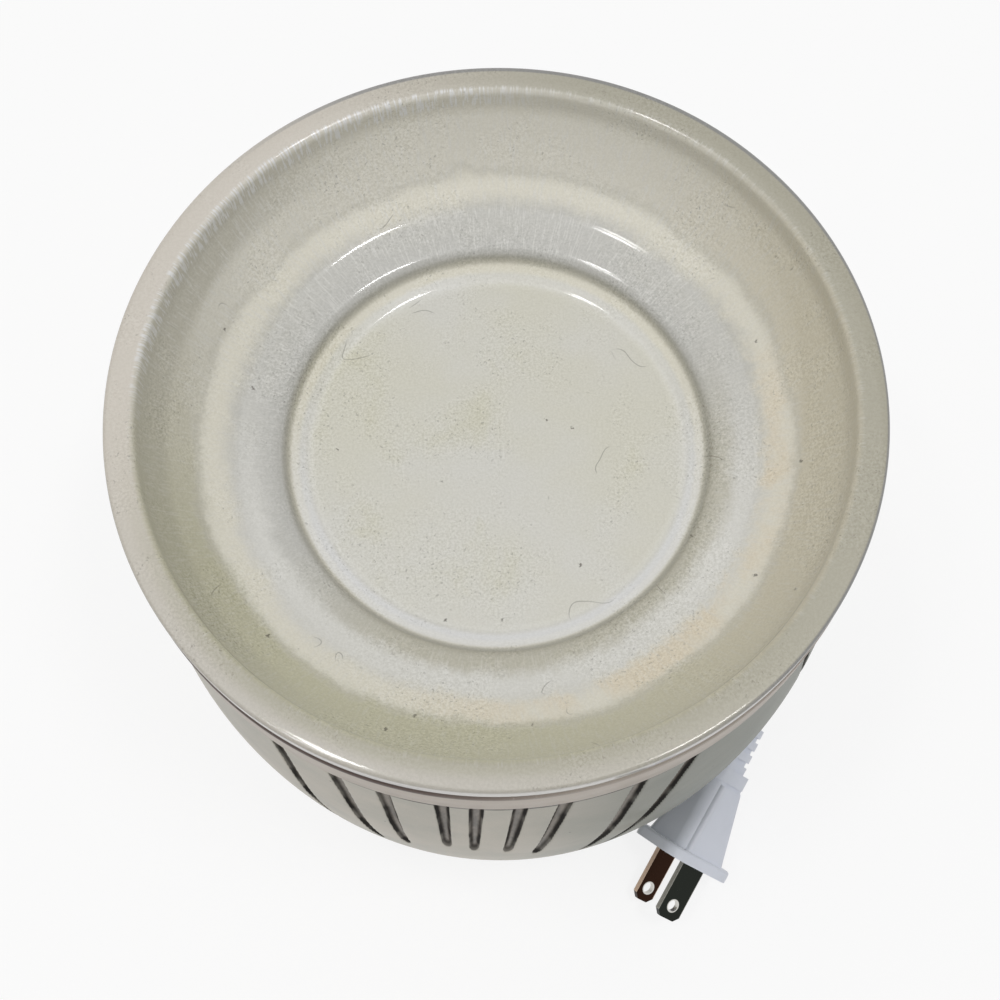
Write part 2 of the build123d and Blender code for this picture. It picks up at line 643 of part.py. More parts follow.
def make_tie():
    """Strap round the coil's turns."""
    inner = COIL_R - COIL_PITCH * COIL_TURNS
    low = inner + 0.25 * COIL_PITCH - CORD_R
    high = low + 2 * COIL_PITCH + 2 * CORD_R
    wide = high - low - 0.2
    tall = COIL_LAYER + 2 * CORD_R - 0.2
    spot = Plane(
        origin=(COIL_C[0] - TIE_W / 2, COIL_C[1] - (low + high) / 2, COIL_Z + COIL_LAYER / 2),
        x_dir=(0, 1, 0),
        z_dir=(1, 0, 0),
    )
    hole = RectangleRounded(wide, tall, CORD_R - 0.1)
    band = RectangleRounded(wide + 2 * TIE_T, tall + 2 * TIE_T, CORD_R + TIE_T - 0.1)
    return extrude(spot * (band - hole), TIE_W)


def make_switch():
    """In-line rocker switch: two shells, a rocker, contacts and screws."""
    mid = SW_MID
    pivot_z = PIVOT_Z
    spot = Pos(SW_X, SW_Y, 0)
    full = extrude(RectangleRounded(SW_W, SW_L, 8.0), SW_H)
    full = fillet(full.edges().group_by(Axis.Z)[-1], 3.0)
    full = fillet(full.edges().group_by(Axis.Z)[0], 1.2)
    for end in (-1, 1):
        neck = Pos(0, end * (SW_L / 2 + SW_NECK / 2 - 2), mid) * Rot(90, 0, 0) * Cylinder(4.6, SW_NECK + 4)
        full = full + neck
    room = Pos(0, 0, SW_WALL) * extrude(
        RectangleRounded(SW_W - 2 * SW_WALL, SW_L - 2 * SW_WALL, 6.2), SW_H - 2 * SW_WALL
    )
    hollow = full - room
    long = SW_L + 4 * SW_NECK
    top_half = Pos(0, 0, mid + SW_H) * Box(long, long, 2 * SW_H)
    low_half = Pos(0, 0, mid - SW_H) * Box(long, long, 2 * SW_H)
    upper = hollow & top_half
    lower = hollow & low_half
    window = Pos(0, 0, SW_H) * Box(ROCK_W + 2 * ROCK_GAP, ROCK_L + 2 * ROCK_END_GAP, 12)
    upper = upper - window
    for side in (-1, 1):
        x_in = ROCK_W / 2 + ROCK_GAP
        ear = Pos(side * (x_in + 1.3), 0, (mid + 0.7 + SW_H - SW_WALL) / 2)
        upper = upper + ear * Box(2.6, 8.0, SW_H - SW_WALL - mid - 0.7)
    upper = upper - Pos(0, 0, pivot_z) * Rot(0, 90, 0) * Cylinder(PIVOT_R + PIVOT_GAP, ROCK_W + 2 * ROCK_GAP + 5.2)
    screws = []
    for y in (9.0 - SW_L / 2, SW_L / 2 - 9.0):
        lower = lower + cyl(4.0, SW_WALL - 0.2, mid, 0, y)
        lower = lower - cyl(2.9, -1, 2.4, 0, y) - cyl(SCREW_R + SCREW_GAP, 0, mid + 1, 0, y)
        upper = upper + cyl(4.0, mid, SW_H - SW_WALL + 0.2, 0, y)
        upper = upper - cyl(SCREW_R - SCREW_BITE, mid - 1, mid + 5.5, 0, y)
        screws.append(spot * screw(0, y, 0.6, 1.8, mid + 5.0, 2.6))
    e = ROCK_L / 2
    outline = [
        (-e, SW_H + 2.0),
        (0, SW_H + 0.4),
        (e, SW_H + 2.0),
        (e - 0.5, SW_H - 3.4),
        (3.5, pivot_z - 2.4),
        (-3.5, pivot_z - 2.4),
        (-e + 0.5, SW_H - 3.4),
    ]
    side_plane = Plane(origin=(-ROCK_W / 2, 0, 0), x_dir=(0, 1, 0), z_dir=(1, 0, 0))
    rocker = extrude(side_plane * make_face(Polyline(*outline, close=True)), ROCK_W)
    rocker = fillet(rocker.edges().filter_by(Axis.X).group_by(Axis.Z)[-1], 0.9)
    rocker = rocker + Pos(0, 0, pivot_z) * Rot(0, 90, 0) * Cylinder(PIVOT_R, ROCK_W + 2 * ROCK_GAP + 4.4)
    rocker = Pos(0, 0, pivot_z) * Rot(ROCK_TILT, 0, 0) * Pos(0, 0, -pivot_z) * rocker
    strips = []
    for x in (-4.0, 4.0):
        strips.append(spot * Pos(x, 0, SW_WALL + 0.3) * Box(4.0, 16.0, 0.6))
    print("rocker pivot", SW_X, SW_Y, pivot_z)
    return {
        "switch_upper_shell": spot * upper,
        "switch_lower_shell": spot * lower,
        "switch_rocker": spot * rocker,
        "switch_contacts": Compound(strips),
        "switch_screws": Compound(screws),
    }


def plug_frame():
    """Front centre of the plug, its rearward direction and its spread."""
    back = Vector(*PLUG_AXIS).normalized() * -1
    spread = Vector(*PLUG_SPREAD)
    spread = (spread - back * spread.dot(back)).normalized()
    return Plane(origin=PLUG_O, x_dir=spread, z_dir=back)


def make_plug():
    """Moulded two-blade plug with a ribbed strain relief."""
    spot = plug_frame()
    w = PLUG_W
    flange = extrude(RectangleRounded(w, w, 6.0), PLUG_FLANGE)
    flange = fillet(flange.edges().group_by(Axis.Z)[-1], 0.8)
    end_z = PLUG_FLANGE + PLUG_BODY_L - 3.0
    sides = [
        Pos(0, 0, PLUG_FLANGE - 0.5) * RectangleRounded(w - 4.0, w - 5.5, 4.0),
        Pos(0, 0, end_z) * RectangleRounded(w - 11.5, w - 12.5, 4.5),
    ]
    panel = [
        Pos(0, 0, PLUG_FLANGE - 0.5) * RectangleRounded(w - 2.6, w - 9.0, 1.5),
        Pos(0, 0, end_z - 2.0) * RectangleRounded(w - 9.6, w - 15.5, 1.5),
    ]
    body = flange + loft(sides) + loft(panel)
    collar_z = end_z + 3.0
    body = body + Pos(0, 0, (end_z - 1 + collar_z) / 2) * Cylinder(6.4, collar_z - end_z + 1)
    z = collar_z
    r = 4.6
    n = 4
    step = RELIEF_L / n
    for _ in range(n):
        body = body + cyl(r, z - 0.1, z + step * 0.6) + cyl(r - 0.9, z + step * 0.5, z + step)
        z += step
        r -= 0.2
    blades = []
    for side, bw in zip((-1, 1), BLADE_W):
        blade = Pos(side * BLADE_PITCH / 2, 0, -BLADE_L / 2) * Box(BLADE_T, bw, BLADE_L)
        blade = chamfer(blade.edges().filter_by(Axis.X).group_by(Axis.Z)[0], 1.6)
        hole = Pos(side * BLADE_PITCH / 2, 0, -12.0) * Rot(0, 90, 0) * Cylinder(1.6, 6)
        blades.append(spot * (blade - hole))
    tail = spot.origin + spot.z_dir * z
    return spot * body, Compound(blades), tail, spot.z_dir


def build():
    """Make every piece, in its place, under the name of its node."""
    parts = {"melt_dish": make_dish(), "fluted_body": make_body()}
    parts["heater_tray"] = make_tray()
    parts["hot_plate"] = make_hot_plate()
    parts.update(make_heater())
    parts.update(make_stat())
    rise = BLOCK_TOP + LEAD_RISE
    hang = TRAY_FLOOR_Z - LEAD_HANG
    live = [(LEAD_X, LEAD_Y, BLOCK_TOP), (LEAD_X, LEAD_Y, rise)]
    live += [(*LEAD_HOLES[0], hang), (*LEAD_HOLES[0], SPADE_Z)]
    back = [(-LEAD_X, LEAD_Y, BLOCK_TOP), (-LEAD_X, LEAD_Y, rise - 2.0)]
    back += [(*LEAD_HOLES[1], hang), (*LEAD_HOLES[1], FUSE_Z)]
    drop = SPADE_Z - 4.0
    hop = [(STAT[0] + 4.0, TAB[1], SPADE_Z), (STAT[0] + 4.0, TAB[1], drop), (TAB[0], TAB[1], drop), (*TAB, TAB_Z)]
    parts["lead_live"] = tube(live, LEAD_R)
    parts["lead_neutral"] = tube(back, LEAD_R)
    parts["element_jumper"] = tube(hop, 1.0, [3.5, 3.5])
    parts.update(make_rod())
    parts.update(make_base())
    parts.update(make_block())
    parts["cord_bushing"] = make_bushing()
    coil, coil_in, coil_out, out_dir = make_coil()
    lead = [(0, BLOCK_Y[1], CORD_Z), (0, 96.0, CORD_Z), (coil_in.X, coil_in.Y - 13.0, coil_in.Z), tuple(coil_in)]
    parts["cord_lead"] = tube(lead, CORD_R)
    parts["cord_coil"] = coil
    parts["cord_tie"] = make_tie()
    mid = SW_MID
    reach = (SW_X - coil_out.X) / out_dir.X
    corner = coil_out + out_dir * reach
    to_switch = [tuple(coil_out), (SW_X, corner.Y, coil_out.Z), (SW_X, SW_Y + SW_L / 2 + SW_NECK, mid)]
    parts["cord_to_switch"] = tube(to_switch, CORD_R)
    parts.update(make_switch())
    plug, blades, tail, tail_dir = make_plug()
    rise = tail + tail_dir * 20.0
    start_y = SW_Y - SW_L / 2 - SW_NECK
    to_plug = [(SW_X, start_y, mid), (SW_X, start_y - 21.0, mid), tuple(rise), tuple(tail)]
    parts["cord_to_plug"] = tube(to_plug, CORD_R)
    parts["plug_body"] = plug
    parts["plug_blades"] = blades
    return parts


if __name__ == "__main__":
    os.makedirs("parts", exist_ok=True)
    for node, shape in build().items():
        export_step(shape, f"parts/{node}.step")
        box = shape.bounding_box()
        print(node, len(shape.solids()), round(shape.volume, 1), [round(v, 1) for v in (*box.min, *box.max)])
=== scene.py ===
"""Looks of an electric wax melt warmer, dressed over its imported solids.

The glazed dish, the carved body and the cord are modelled here. The other solids keep their own
meshes and get procedural finishes. Sizes in the classes are millimetres, and Blender gets metres.
"""

import logging
import math
from dataclasses import dataclass, field
from enum import Enum
from typing import Any, Optional, Sequence, Union

import bmesh
import bpy
from mathutils import Matrix, Vector, noise
from mathutils.geometry import interpolate_bezier


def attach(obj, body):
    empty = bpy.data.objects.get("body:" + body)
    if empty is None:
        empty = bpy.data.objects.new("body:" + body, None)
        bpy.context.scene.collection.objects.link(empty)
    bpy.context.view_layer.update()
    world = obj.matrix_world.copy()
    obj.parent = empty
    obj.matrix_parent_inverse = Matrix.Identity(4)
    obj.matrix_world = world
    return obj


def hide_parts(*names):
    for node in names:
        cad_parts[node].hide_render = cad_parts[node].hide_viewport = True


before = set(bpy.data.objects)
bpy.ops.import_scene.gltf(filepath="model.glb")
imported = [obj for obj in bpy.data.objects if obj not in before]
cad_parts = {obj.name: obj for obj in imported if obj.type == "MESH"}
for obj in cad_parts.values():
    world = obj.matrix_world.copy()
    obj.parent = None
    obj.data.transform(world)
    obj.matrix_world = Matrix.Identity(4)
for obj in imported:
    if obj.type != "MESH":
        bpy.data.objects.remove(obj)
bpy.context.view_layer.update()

LOG = logging.getLogger("warmer")
MM = 0.001
Point2 = tuple[float, float]
Point3 = tuple[float, float, float]
Colour = tuple[float, float, float]


class Rides(Enum):
    """Rigid bodies of the part that the new pieces ride on."""

    WARMER = "warmer"
    DISH = "dish"


class Grain(Enum):
    """How a metal was worked."""

    ROLLED = "rolled"
    TURNED = "turned"
    CAST = "cast"


def srgb(red: float, green: float, blue: float) -> Colour:
    """Turn 8-bit display values into a linear colour.

    Args:
        red, green, blue: display values from 0 to 255.

    Returns:
        The linear colour.
    """
    def one(value: float) -> float:
        """Linear value of one channel."""
        share = value / 255.0
        return share / 12.92 if share <= 0.04045 else ((share + 0.055) / 1.055) ** 2.4

    return one(red), one(green), one(blue)


def clamped(share: float) -> float:
    """A share kept from 0 to 1."""
    return max(0.0, min(1.0, share))


class Val:
    """A value in a node tree, with operators that add Math nodes."""

    def __init__(self, graph: "Graph", socket: bpy.types.NodeSocket) -> None:
        """Wrap one output socket of a graph."""
        self.graph = graph
        self.socket = socket

    def __add__(self, other: "Operand") -> "Val":
        """Sum."""
        return self.graph.math("ADD", self, other)

    __radd__ = __add__

    def __sub__(self, other: "Operand") -> "Val":
        """Difference."""
        return self.graph.math("SUBTRACT", self, other)

    def __rsub__(self, other: "Operand") -> "Val":
        """Difference from a number."""
        return self.graph.math("SUBTRACT", other, self)

    def __mul__(self, other: "Operand") -> "Val":
        """Product."""
        return self.graph.math("MULTIPLY", self, other)

    __rmul__ = __mul__

    def __truediv__(self, other: "Operand") -> "Val":
        """Quotient."""
        return self.graph.math("DIVIDE", self, other)

    def __rtruediv__(self, other: "Operand") -> "Val":
        """A number divided by this value."""
        return self.graph.math("DIVIDE", other, self)

    def __abs__(self) -> "Val":
        """Size without sign."""
        return self.graph.math("ABSOLUTE", self)


Operand = Union[Val, float]


class Graph:
    """Builds the node tree of one material, or of the world."""

    def __init__(self, name: str, world: bool = False) -> None:
        """Start an empty tree.

        Args:
            name: name of the material or the world.
            world: whether it is the world.
        """
        self.owner = (bpy.data.worlds if world else bpy.data.materials).new(name)
        self.owner.use_nodes = True
        self.tree = self.owner.node_tree
        self.tree.nodes.clear()

    def node(
        self,
        kind: str,
        settings: Optional[dict[str, Any]] = None,
        inputs: Optional[dict[Union[str, int], Any]] = None,
    ) -> bpy.types.Node:
        """Add any node.

        Args:
            kind: Blender's name of the node type.
            settings: properties, set first.
            inputs: values or links of the sockets, by name or number.

        Returns:
            The new node.
        """
        made = self.tree.nodes.new(kind)
        for key, value in (settings or {}).items():
            setattr(made, key, value)
        for key, value in (inputs or {}).items():
            if isinstance(value, Val):
                self.tree.links.new(value.socket, made.inputs[key])
            else:
                made.inputs[key].default_value = value
        return made

    def math(self, operation: str, *values: Operand) -> Val:
        """Math node on numbers and values."""
        made = self.node("ShaderNodeMath", {"operation": operation}, dict(enumerate(values)))
        return Val(self, made.outputs[0])

    def vector(self, operation: str, *values: Any, scale: Operand = 1.0) -> Val:
        """Vector Math node.

        Args:
            operation: name of the operation.
            values: the vectors it works on.
            scale: factor of the SCALE operation.

        Returns:
            The resulting vector, or the value of DOT_PRODUCT and LENGTH.
        """
        inputs: dict[Union[str, int], Any] = dict(enumerate(values))
        if operation == "SCALE":
            inputs["Scale"] = scale
        made = self.node("ShaderNodeVectorMath", {"operation": operation}, inputs)
        number = operation in ("DOT_PRODUCT", "LENGTH")
        return Val(self, made.outputs["Value" if number else "Vector"])

    def place(self) -> Val:
        """Object coordinates in millimetres."""
        made = self.node("ShaderNodeTexCoord")
        return self.vector("SCALE", Val(self, made.outputs["Object"]), scale=1.0 / MM)

    def split(self, vector: Val) -> tuple[Val, Val, Val]:
        """The three parts of a vector."""
        made = self.node("ShaderNodeSeparateXYZ", None, {0: vector})
        return tuple(Val(self, s) for s in made.outputs)

    def joined(self, x: Operand, y: Operand, z: Operand) -> Val:
        """Vector of three parts."""
        made = self.node("ShaderNodeCombineXYZ", None, {0: x, 1: y, 2: z})
        return Val(self, made.outputs[0])

    def attribute(self, name: str) -> Val:
        """Number stored on the mesh's vertices."""
        made = self.node("ShaderNodeAttribute", {"attribute_name": name})
        return Val(self, made.outputs["Fac"])

    def step(self, value: Operand, low: float, high: float) -> Val:
        """Smooth step from 0 at low to 1 at high.

        Args:
            value: what is tested.
            low: where the step starts; it may be above high for a falling step.
            high: where the step ends.

        Returns:
            A value from 0 to 1.
        """
        falling = low > high
        made = self.node(
            "ShaderNodeMapRange",
            {"interpolation_type": "SMOOTHSTEP", "clamp": True},
            {
                "Value": value,
                "From Min": high if falling else low,
                "From Max": low if falling else high,
                "To Min": 1.0 if falling else 0.0,
                "To Max": 0.0 if falling else 1.0,
            },
        )
        return Val(self, made.outputs["Result"])

    def band(self, value: Operand, middle: float, half: float, soft: float) -> Val:
        """A soft-edged stripe: 1 within half of middle, 0 beyond half + soft."""
        return self.step(abs(value - middle), half + soft, half)

    def noise(
        self, vector: Val, scale: float, detail: float = 2.0, rough: float = 0.5, warp: float = 0.0
    ) -> Val:
        """Noise texture's value.

        Args:
            vector: where it is read.
            scale: features per millimetre.
            detail: octaves.
            rough: strength of the finer octaves.
            warp: distortion.

        Returns:
            A value about 0.5.
        """
        made = self.node(
            "ShaderNodeTexNoise",
            None,
            {"Vector": vector, "Scale": scale, "Detail": detail, "Roughness": rough, "Distortion": warp},
        )
        return Val(self, made.outputs[0])

    def drift(self, vector: Val, scale: float, reach: float) -> Val:
        """Random vectors that bend a pattern.

        Args:
            vector: where they are read.
            scale: features per millimetre.
            reach: largest shift, in millimetres.

        Returns:
            The shift.
        """
        made = self.node("ShaderNodeTexNoise", None, {"Vector": vector, "Scale": scale, "Detail": 1.0})
        middle = self.vector("SUBTRACT", Val(self, made.outputs[1]), (0.5, 0.5, 0.5))
        return self.vector("SCALE", middle, scale=2.0 * reach)

    def cells(self, vector: Val, scale: float) -> tuple[Val, Val]:
        """Cells of random size.

        Args:
            vector: where they are read.
            scale: cells per millimetre.

        Returns:
            Distance to the cell's middle, and a random value of the cell.
        """
        made = self.node("ShaderNodeTexVoronoi", None, {"Vector": vector, "Scale": scale})
        parts = self.node("ShaderNodeSeparateColor", None, {0: Val(self, made.outputs["Color"])})
        return Val(self, made.outputs["Distance"]), Val(self, parts.outputs[0])

    def mix(self, factor: Operand, first: Any, second: Any, blend: str = "MIX") -> Val:
        """Mix two colours.

        Args:
            factor: share of the second.
            first, second: colours or values.
            blend: Blender's blend type.

        Returns:
            The mixed colour.
        """
        a, b = ((*c, 1.0) if isinstance(c, tuple) else c for c in (first, second))
        settings = {"data_type": "RGBA", "blend_type": blend}
        made = self.node("ShaderNodeMix", settings, {0: factor, 6: a, 7: b})
        return Val(self, made.outputs[2])

    def coats(self, base: Any, *layers: tuple[Operand, Any]) -> Val:
        """Lay coats of colour over a base.

        Args:
            base: the colour below.
            layers: share and colour of each coat, the lowest first.

        Returns:
            The colour that shows.
        """
        for share, tint in layers:
            base = self.mix(share, base, tint)
        return base

    def bump(self, height: Val, strength: float, depth_mm: float) -> Val:
        """Normal from a height map.

        Args:
            height: value from 0 to 1.
            strength: share of the effect.
            depth_mm: height of the full range.

        Returns:
            The normal.
        """
        inputs = {"Strength": strength, "Distance": depth_mm * MM, "Height": height}
        made = self.node("ShaderNodeBump", None, inputs)
        return Val(self, made.outputs["Normal"])

    def surface(self, **inputs: Any) -> bpy.types.Material:
        """Close the tree with a Principled shader.

        Args:
            inputs: socket values, with underscores for spaces.

        Returns:
            The finished material.
        """
        named = {key.replace("_", " "): value for key, value in inputs.items()}
        shader = self.node("ShaderNodeBsdfPrincipled", None, named)
        self.node("ShaderNodeOutputMaterial", None, {"Surface": Val(self, shader.outputs[0])})
        return self.owner

    def backdrop_rays(self) -> Val:
        """Find the rays that see the plain background.

        Returns:
            1 for the camera's rays and those in gloss and glass, and 0 for the others.
        """
        path = self.node("ShaderNodeLightPath")
        kinds = ("Is Camera Ray", "Is Glossy Ray", "Is Transmission Ray")
        camera, gloss, glass = (Val(self, path.outputs[kind]) for kind in kinds)
        return self.math("MINIMUM", camera + gloss + glass, 1.0)


class Turned:
    """Places on a turned piece: radius and height in millimetres, and the way round the axis."""

    def __init__(self, graph: Graph) -> None:
        """Work out the places.

        Args:
            graph: nodes of the material that they feed.
        """
        self.graph = graph
        self.point = graph.place()
        self.z = graph.split(self.point)[2]
        self.flat = graph.vector("MULTIPLY", self.point, (1.0, 1.0, 0.0))
        self.r = graph.vector("LENGTH", self.flat)
        self.around = graph.vector("NORMALIZE", self.flat)

    def side(self, x: float, y: float, low: float, high: float) -> Val:
        """How far a place lies towards one side.

        Args:
            x: the side's direction, to the right.
            y: the side's direction, to the back.
            low: cosine where the share is 0.
            high: cosine where the share is 1.

        Returns:
            A share from 0 to 1.
        """
        return self.graph.step(self.graph.vector("DOT_PRODUCT", self.around, (x, y, 0.0)), low, high)

    def joint_darkness(self) -> Val:
        """Share of darkening in the joint under the rim, most at the front left."""
        return 0.22 + 0.7 * self.side(-0.62, -0.78, 0.6, 0.96)


@dataclass(frozen=True)
class DishGlaze:
    """Pearly cream glaze, cooler on the flats and khaki where it has pooled, with painted highlights,
    sheen, light and shade in its colour.
    """

    name: str = "dish_glaze"
    cream: Colour = srgb(205, 203, 190)
    edge: Colour = srgb(218, 214, 199)
    pearl: Colour = srgb(208, 207, 202)
    haze: Colour = srgb(178, 177, 172)
    sage: Colour = srgb(173, 169, 152)
    khaki: Colour = srgb(202, 195, 175)
    olive: Colour = srgb(193, 190, 164)
    painted_light_wall: Colour = srgb(210, 207, 196)
    tan: Colour = srgb(214, 200, 174)
    blush: Colour = srgb(200, 193, 182)
    rim_shade: Colour = srgb(160, 156, 139)
    lilac: Colour = srgb(178, 173, 164)
    crease: Colour = srgb(146, 143, 130)
    slate: Colour = srgb(120, 121, 124)
    # colour of the painted highlights
    painted_highlight: Colour = srgb(228, 229, 232)
    # colour of the joint under the rim and of the painted shadow on its outer side
    darkening: Colour = srgb(92, 74, 70)
    speck: Colour = srgb(70, 62, 52)
    pit: Colour = (0.2, 0.2, 0.19)
    grain: Colour = (0.8, 0.8, 0.8)
    floor_r: float = 43.8
    crease_r: float = 46.0
    ring_r: float = 60.8
    lip_r: float = 73.4
    edge_r: float = 79.2

    def rings(self, g: Graph, on: Turned, patch: Val, rub: Val) -> Val:
        """Colour of the floor, the ledge, the coves and the wall, with painted highlights at the floor's
        edge, painted light on the front of the ledge and the back of the wall, and painted shade on the
        riser, the creases and the wall's front left and left.

        Args:
            g: the material's nodes.
            on: places on the dish.
            patch: broad unevenness, from 0 to 1.
            rub: fine unevenness, from 0 to 1.

        Returns:
            The colour.
        """
        r = on.r
        loose = r + (patch - 0.5) * 7.0 + (rub - 0.5) * 3.0
        near = on.side(0.0, -1.0, -0.5, 0.6)
        far = on.side(-0.35, 0.94, -0.15, 0.8)
        broad = g.noise(on.point, 0.028, 3.0, 0.55)
        ledge = g.step(r, self.crease_r, self.crease_r + 1.0)
        # painted shade on the riser above the floor, greener at the front right
        riser_shade = g.mix(on.side(0.45, -0.89, -0.1, 0.7), self.haze, self.sage)
        # the wall painted darker and greener at the front left as shade, and lighter at the back as
        # painted light
        wall = g.mix(on.side(-0.62, -0.78, -0.2, 0.9), self.khaki, self.olive)
        wall = g.mix(far * 0.95, wall, self.painted_light_wall)
        warm = on.side(0.75, -0.66, 0.2, 0.9) * g.band(loose, self.ring_r, 1.0, 3.0)
        warm = warm * g.step(patch, 0.34, 0.56) * 0.65
        # painted shade high on the left wall
        painted_shade_left = on.side(-1.0, 0.05, 0.35, 0.95) * g.band(r, 71.6, 0.9, 2.2) * 0.45
        painted_shade_left = painted_shade_left + on.side(-1.0, -0.1, 0.7, 0.98) * g.band(r, 67.0, 1.5, 2.5) * 0.2
        # darker in the creases, partly glaze pooled there and partly painted shade, with the painted shade
        # on the left wall
        pooled_and_painted_shade = g.band(r, self.crease_r + 0.3, 0.2, 1.0) * 0.5 + g.band(loose, 63.9, 0.1, 1.2) * 0.16 + painted_shade_left
        return g.coats(
            self.cream,
            # pearly patches, a little more at the front as painted sheen
            (g.step(broad + near * 0.10, 0.40, 0.76) * 0.8, self.pearl),
            (g.step(patch, 0.54, 0.72) * 0.35, self.olive),
            # painted highlight ring just inside the floor's edge
            (g.band(r, self.floor_r - 1.2, 0.5, 1.4) * 0.5, self.pearl),
            (g.band(r + (rub - 0.5) * 1.2, self.floor_r + 1.2, 0.5, 1.3) * 0.8, self.edge),
            # painted highlight on the floor's edge at the front
            (g.band(r, self.floor_r, 0.9, 1.4) * near * 0.55, self.painted_highlight),
            # the ledge painted lighter at the front as painted light
            (ledge * 0.85, g.mix(near, self.haze, self.pearl)),
            (ledge * g.step(loose, 54.0, 49.5) * 0.85, riser_shade),
            (g.step(loose, 59.5, 66.0), wall),
            (g.band(loose, self.ring_r, 0.4, 4.8) * 0.85, self.edge),
            (warm, self.tan),
            (pooled_and_painted_shade, self.crease),
        )

    def rim(self, g: Graph, on: Turned, rub: Val, colour: Val) -> Val:
        """Colour of the rim's top, painted darker at the front and right as shade, with painted shade on
        its outer edge at the right and back, the darker joint under it and a painted shadow on its outer
        side at the front.

        Args:
            g: the material's nodes.
            on: places on the dish.
            rub: fine unevenness, from 0 to 1.
            colour: what lies below.

        Returns:
            The colour.
        """
        r, z = on.r, on.z
        # painted shade: the rim's top darker inside at the front, and darker on the right
        front = g.mix(g.step(r, 75.4, 78.4), self.rim_shade, self.lilac)
        land = g.mix(on.side(0.0, -1.0, -0.1, 0.9) * 0.9, self.blush, front)
        land = g.mix(on.side(0.97, 0.24, -0.4, 0.6), land, self.rim_shade)
        # painted shade on the outer edge at the right and back
        back = on.side(0.0, 1.0, 0.0, 0.9)
        painted_side_lighting = on.side(0.85, 0.52, -0.35, 0.3) * g.step(r + back * 0.7, self.edge_r, self.edge_r + 0.4)
        # darker in the joint under the rim
        joint_dark = g.step(z, 154.4, 153.4) * g.step(r, 74.0, 76.0) * g.step(rub, 0.10, 0.40) * on.joint_darkness()
        # painted shadow on the rim's outer side at the front left and front right
        painted_shadow = on.side(-0.60, -0.80, 0.84, 0.94) + 0.6 * on.side(0.67, -0.74, 0.88, 0.96)
        painted_shadow = painted_shadow * g.step(z, 157.6, 156.6) * g.step(rub, 0.15, 0.45)
        painted_shadow = painted_shadow * g.step(r, self.edge_r, self.edge_r + 0.5) * 0.8
        return g.coats(
            colour,
            (g.step(r + (rub - 0.5) * 0.8, self.lip_r, self.lip_r + 1.6) * 0.92, land),
            (painted_side_lighting * 0.75, self.slate),
            (g.math("MAXIMUM", joint_dark, painted_shadow), self.darkening),
        )

    def specks(self, g: Graph, on: Turned, patch: Val) -> tuple[Val, Val]:
        """Dust, dots and hairs that were fired into the glaze.

        Args:
            g: the material's nodes.
            on: places on the dish.
            patch: broad unevenness, from 0 to 1.

        Returns:
            How far they darken the glaze, and how far they dull it.
        """
        bent = g.vector("ADD", on.point, g.drift(on.point, 1.3, 0.7))
        grit, odds = g.cells(bent, 1.1)
        dust = g.step(grit, 0.30, 0.16) * g.step(odds, 0.56, 0.64) * g.step(patch, 0.40, 0.60)
        spot, chance = g.cells(g.vector("MULTIPLY", bent, (1.0, 1.0, 0.0)), 0.17)
        inside = g.step(on.r, 73.0, 72.0)
        dots = inside * g.step(spot, 0.085, 0.03) * g.step(chance, 0.80, 0.83)
        apart = 0.3
        shifts = ((57.0, 23.0, 9.0), (57.0 + apart, 23.0, 9.0), (57.0, 23.0 + apart, 9.0))
        here, east, north = (g.noise(g.vector("ADD", on.flat, s), 0.08, 1.0, 0.35, 0.5) for s in shifts)
        slope = g.vector("LENGTH", g.joined(east - here, north - here, 0.0)) / apart
        thread = g.step(abs(here - 0.5) / (slope + 0.0005), 0.16, 0.06)
        hairs = inside * thread * g.step(g.noise(on.flat, 0.07, 1.0), 0.62, 0.68)
        dull = g.math("MINIMUM", dust * 0.4 + dots + hairs * 0.5, 1.0)
        return dust * 0.36 + dots * 0.75 + hairs * 0.42, dull

    def build(self) -> bpy.types.Material:
        """Make the material.

        Returns:
            The finished material.
        """
        g = Graph(self.name)
        on = Turned(g)
        r = on.r
        patch = g.noise(g.vector("ADD", on.point, (71.0, 13.0, 5.0)), 0.05, 4.0, 0.6, 0.4)
        rub = g.noise(on.point, 0.5, 3.0, 0.7)
        strand = g.joined(0.0, 0.0, (r + on.z) * 0.22)
        streak = g.noise(g.vector("ADD", g.vector("SCALE", on.around, scale=170.0), strand), 1.0, 1.0, 0.5)
        steep = g.step(r, self.crease_r, self.crease_r + 3.0) * g.step(r, 75.5, 74.5)
        # brush streaks in the glaze on the coves and wall, painted lighter as sheen, most at the back
        painted_sheen_share = 0.22 + 0.24 * on.side(-0.2, 0.98, 0.0, 0.8)
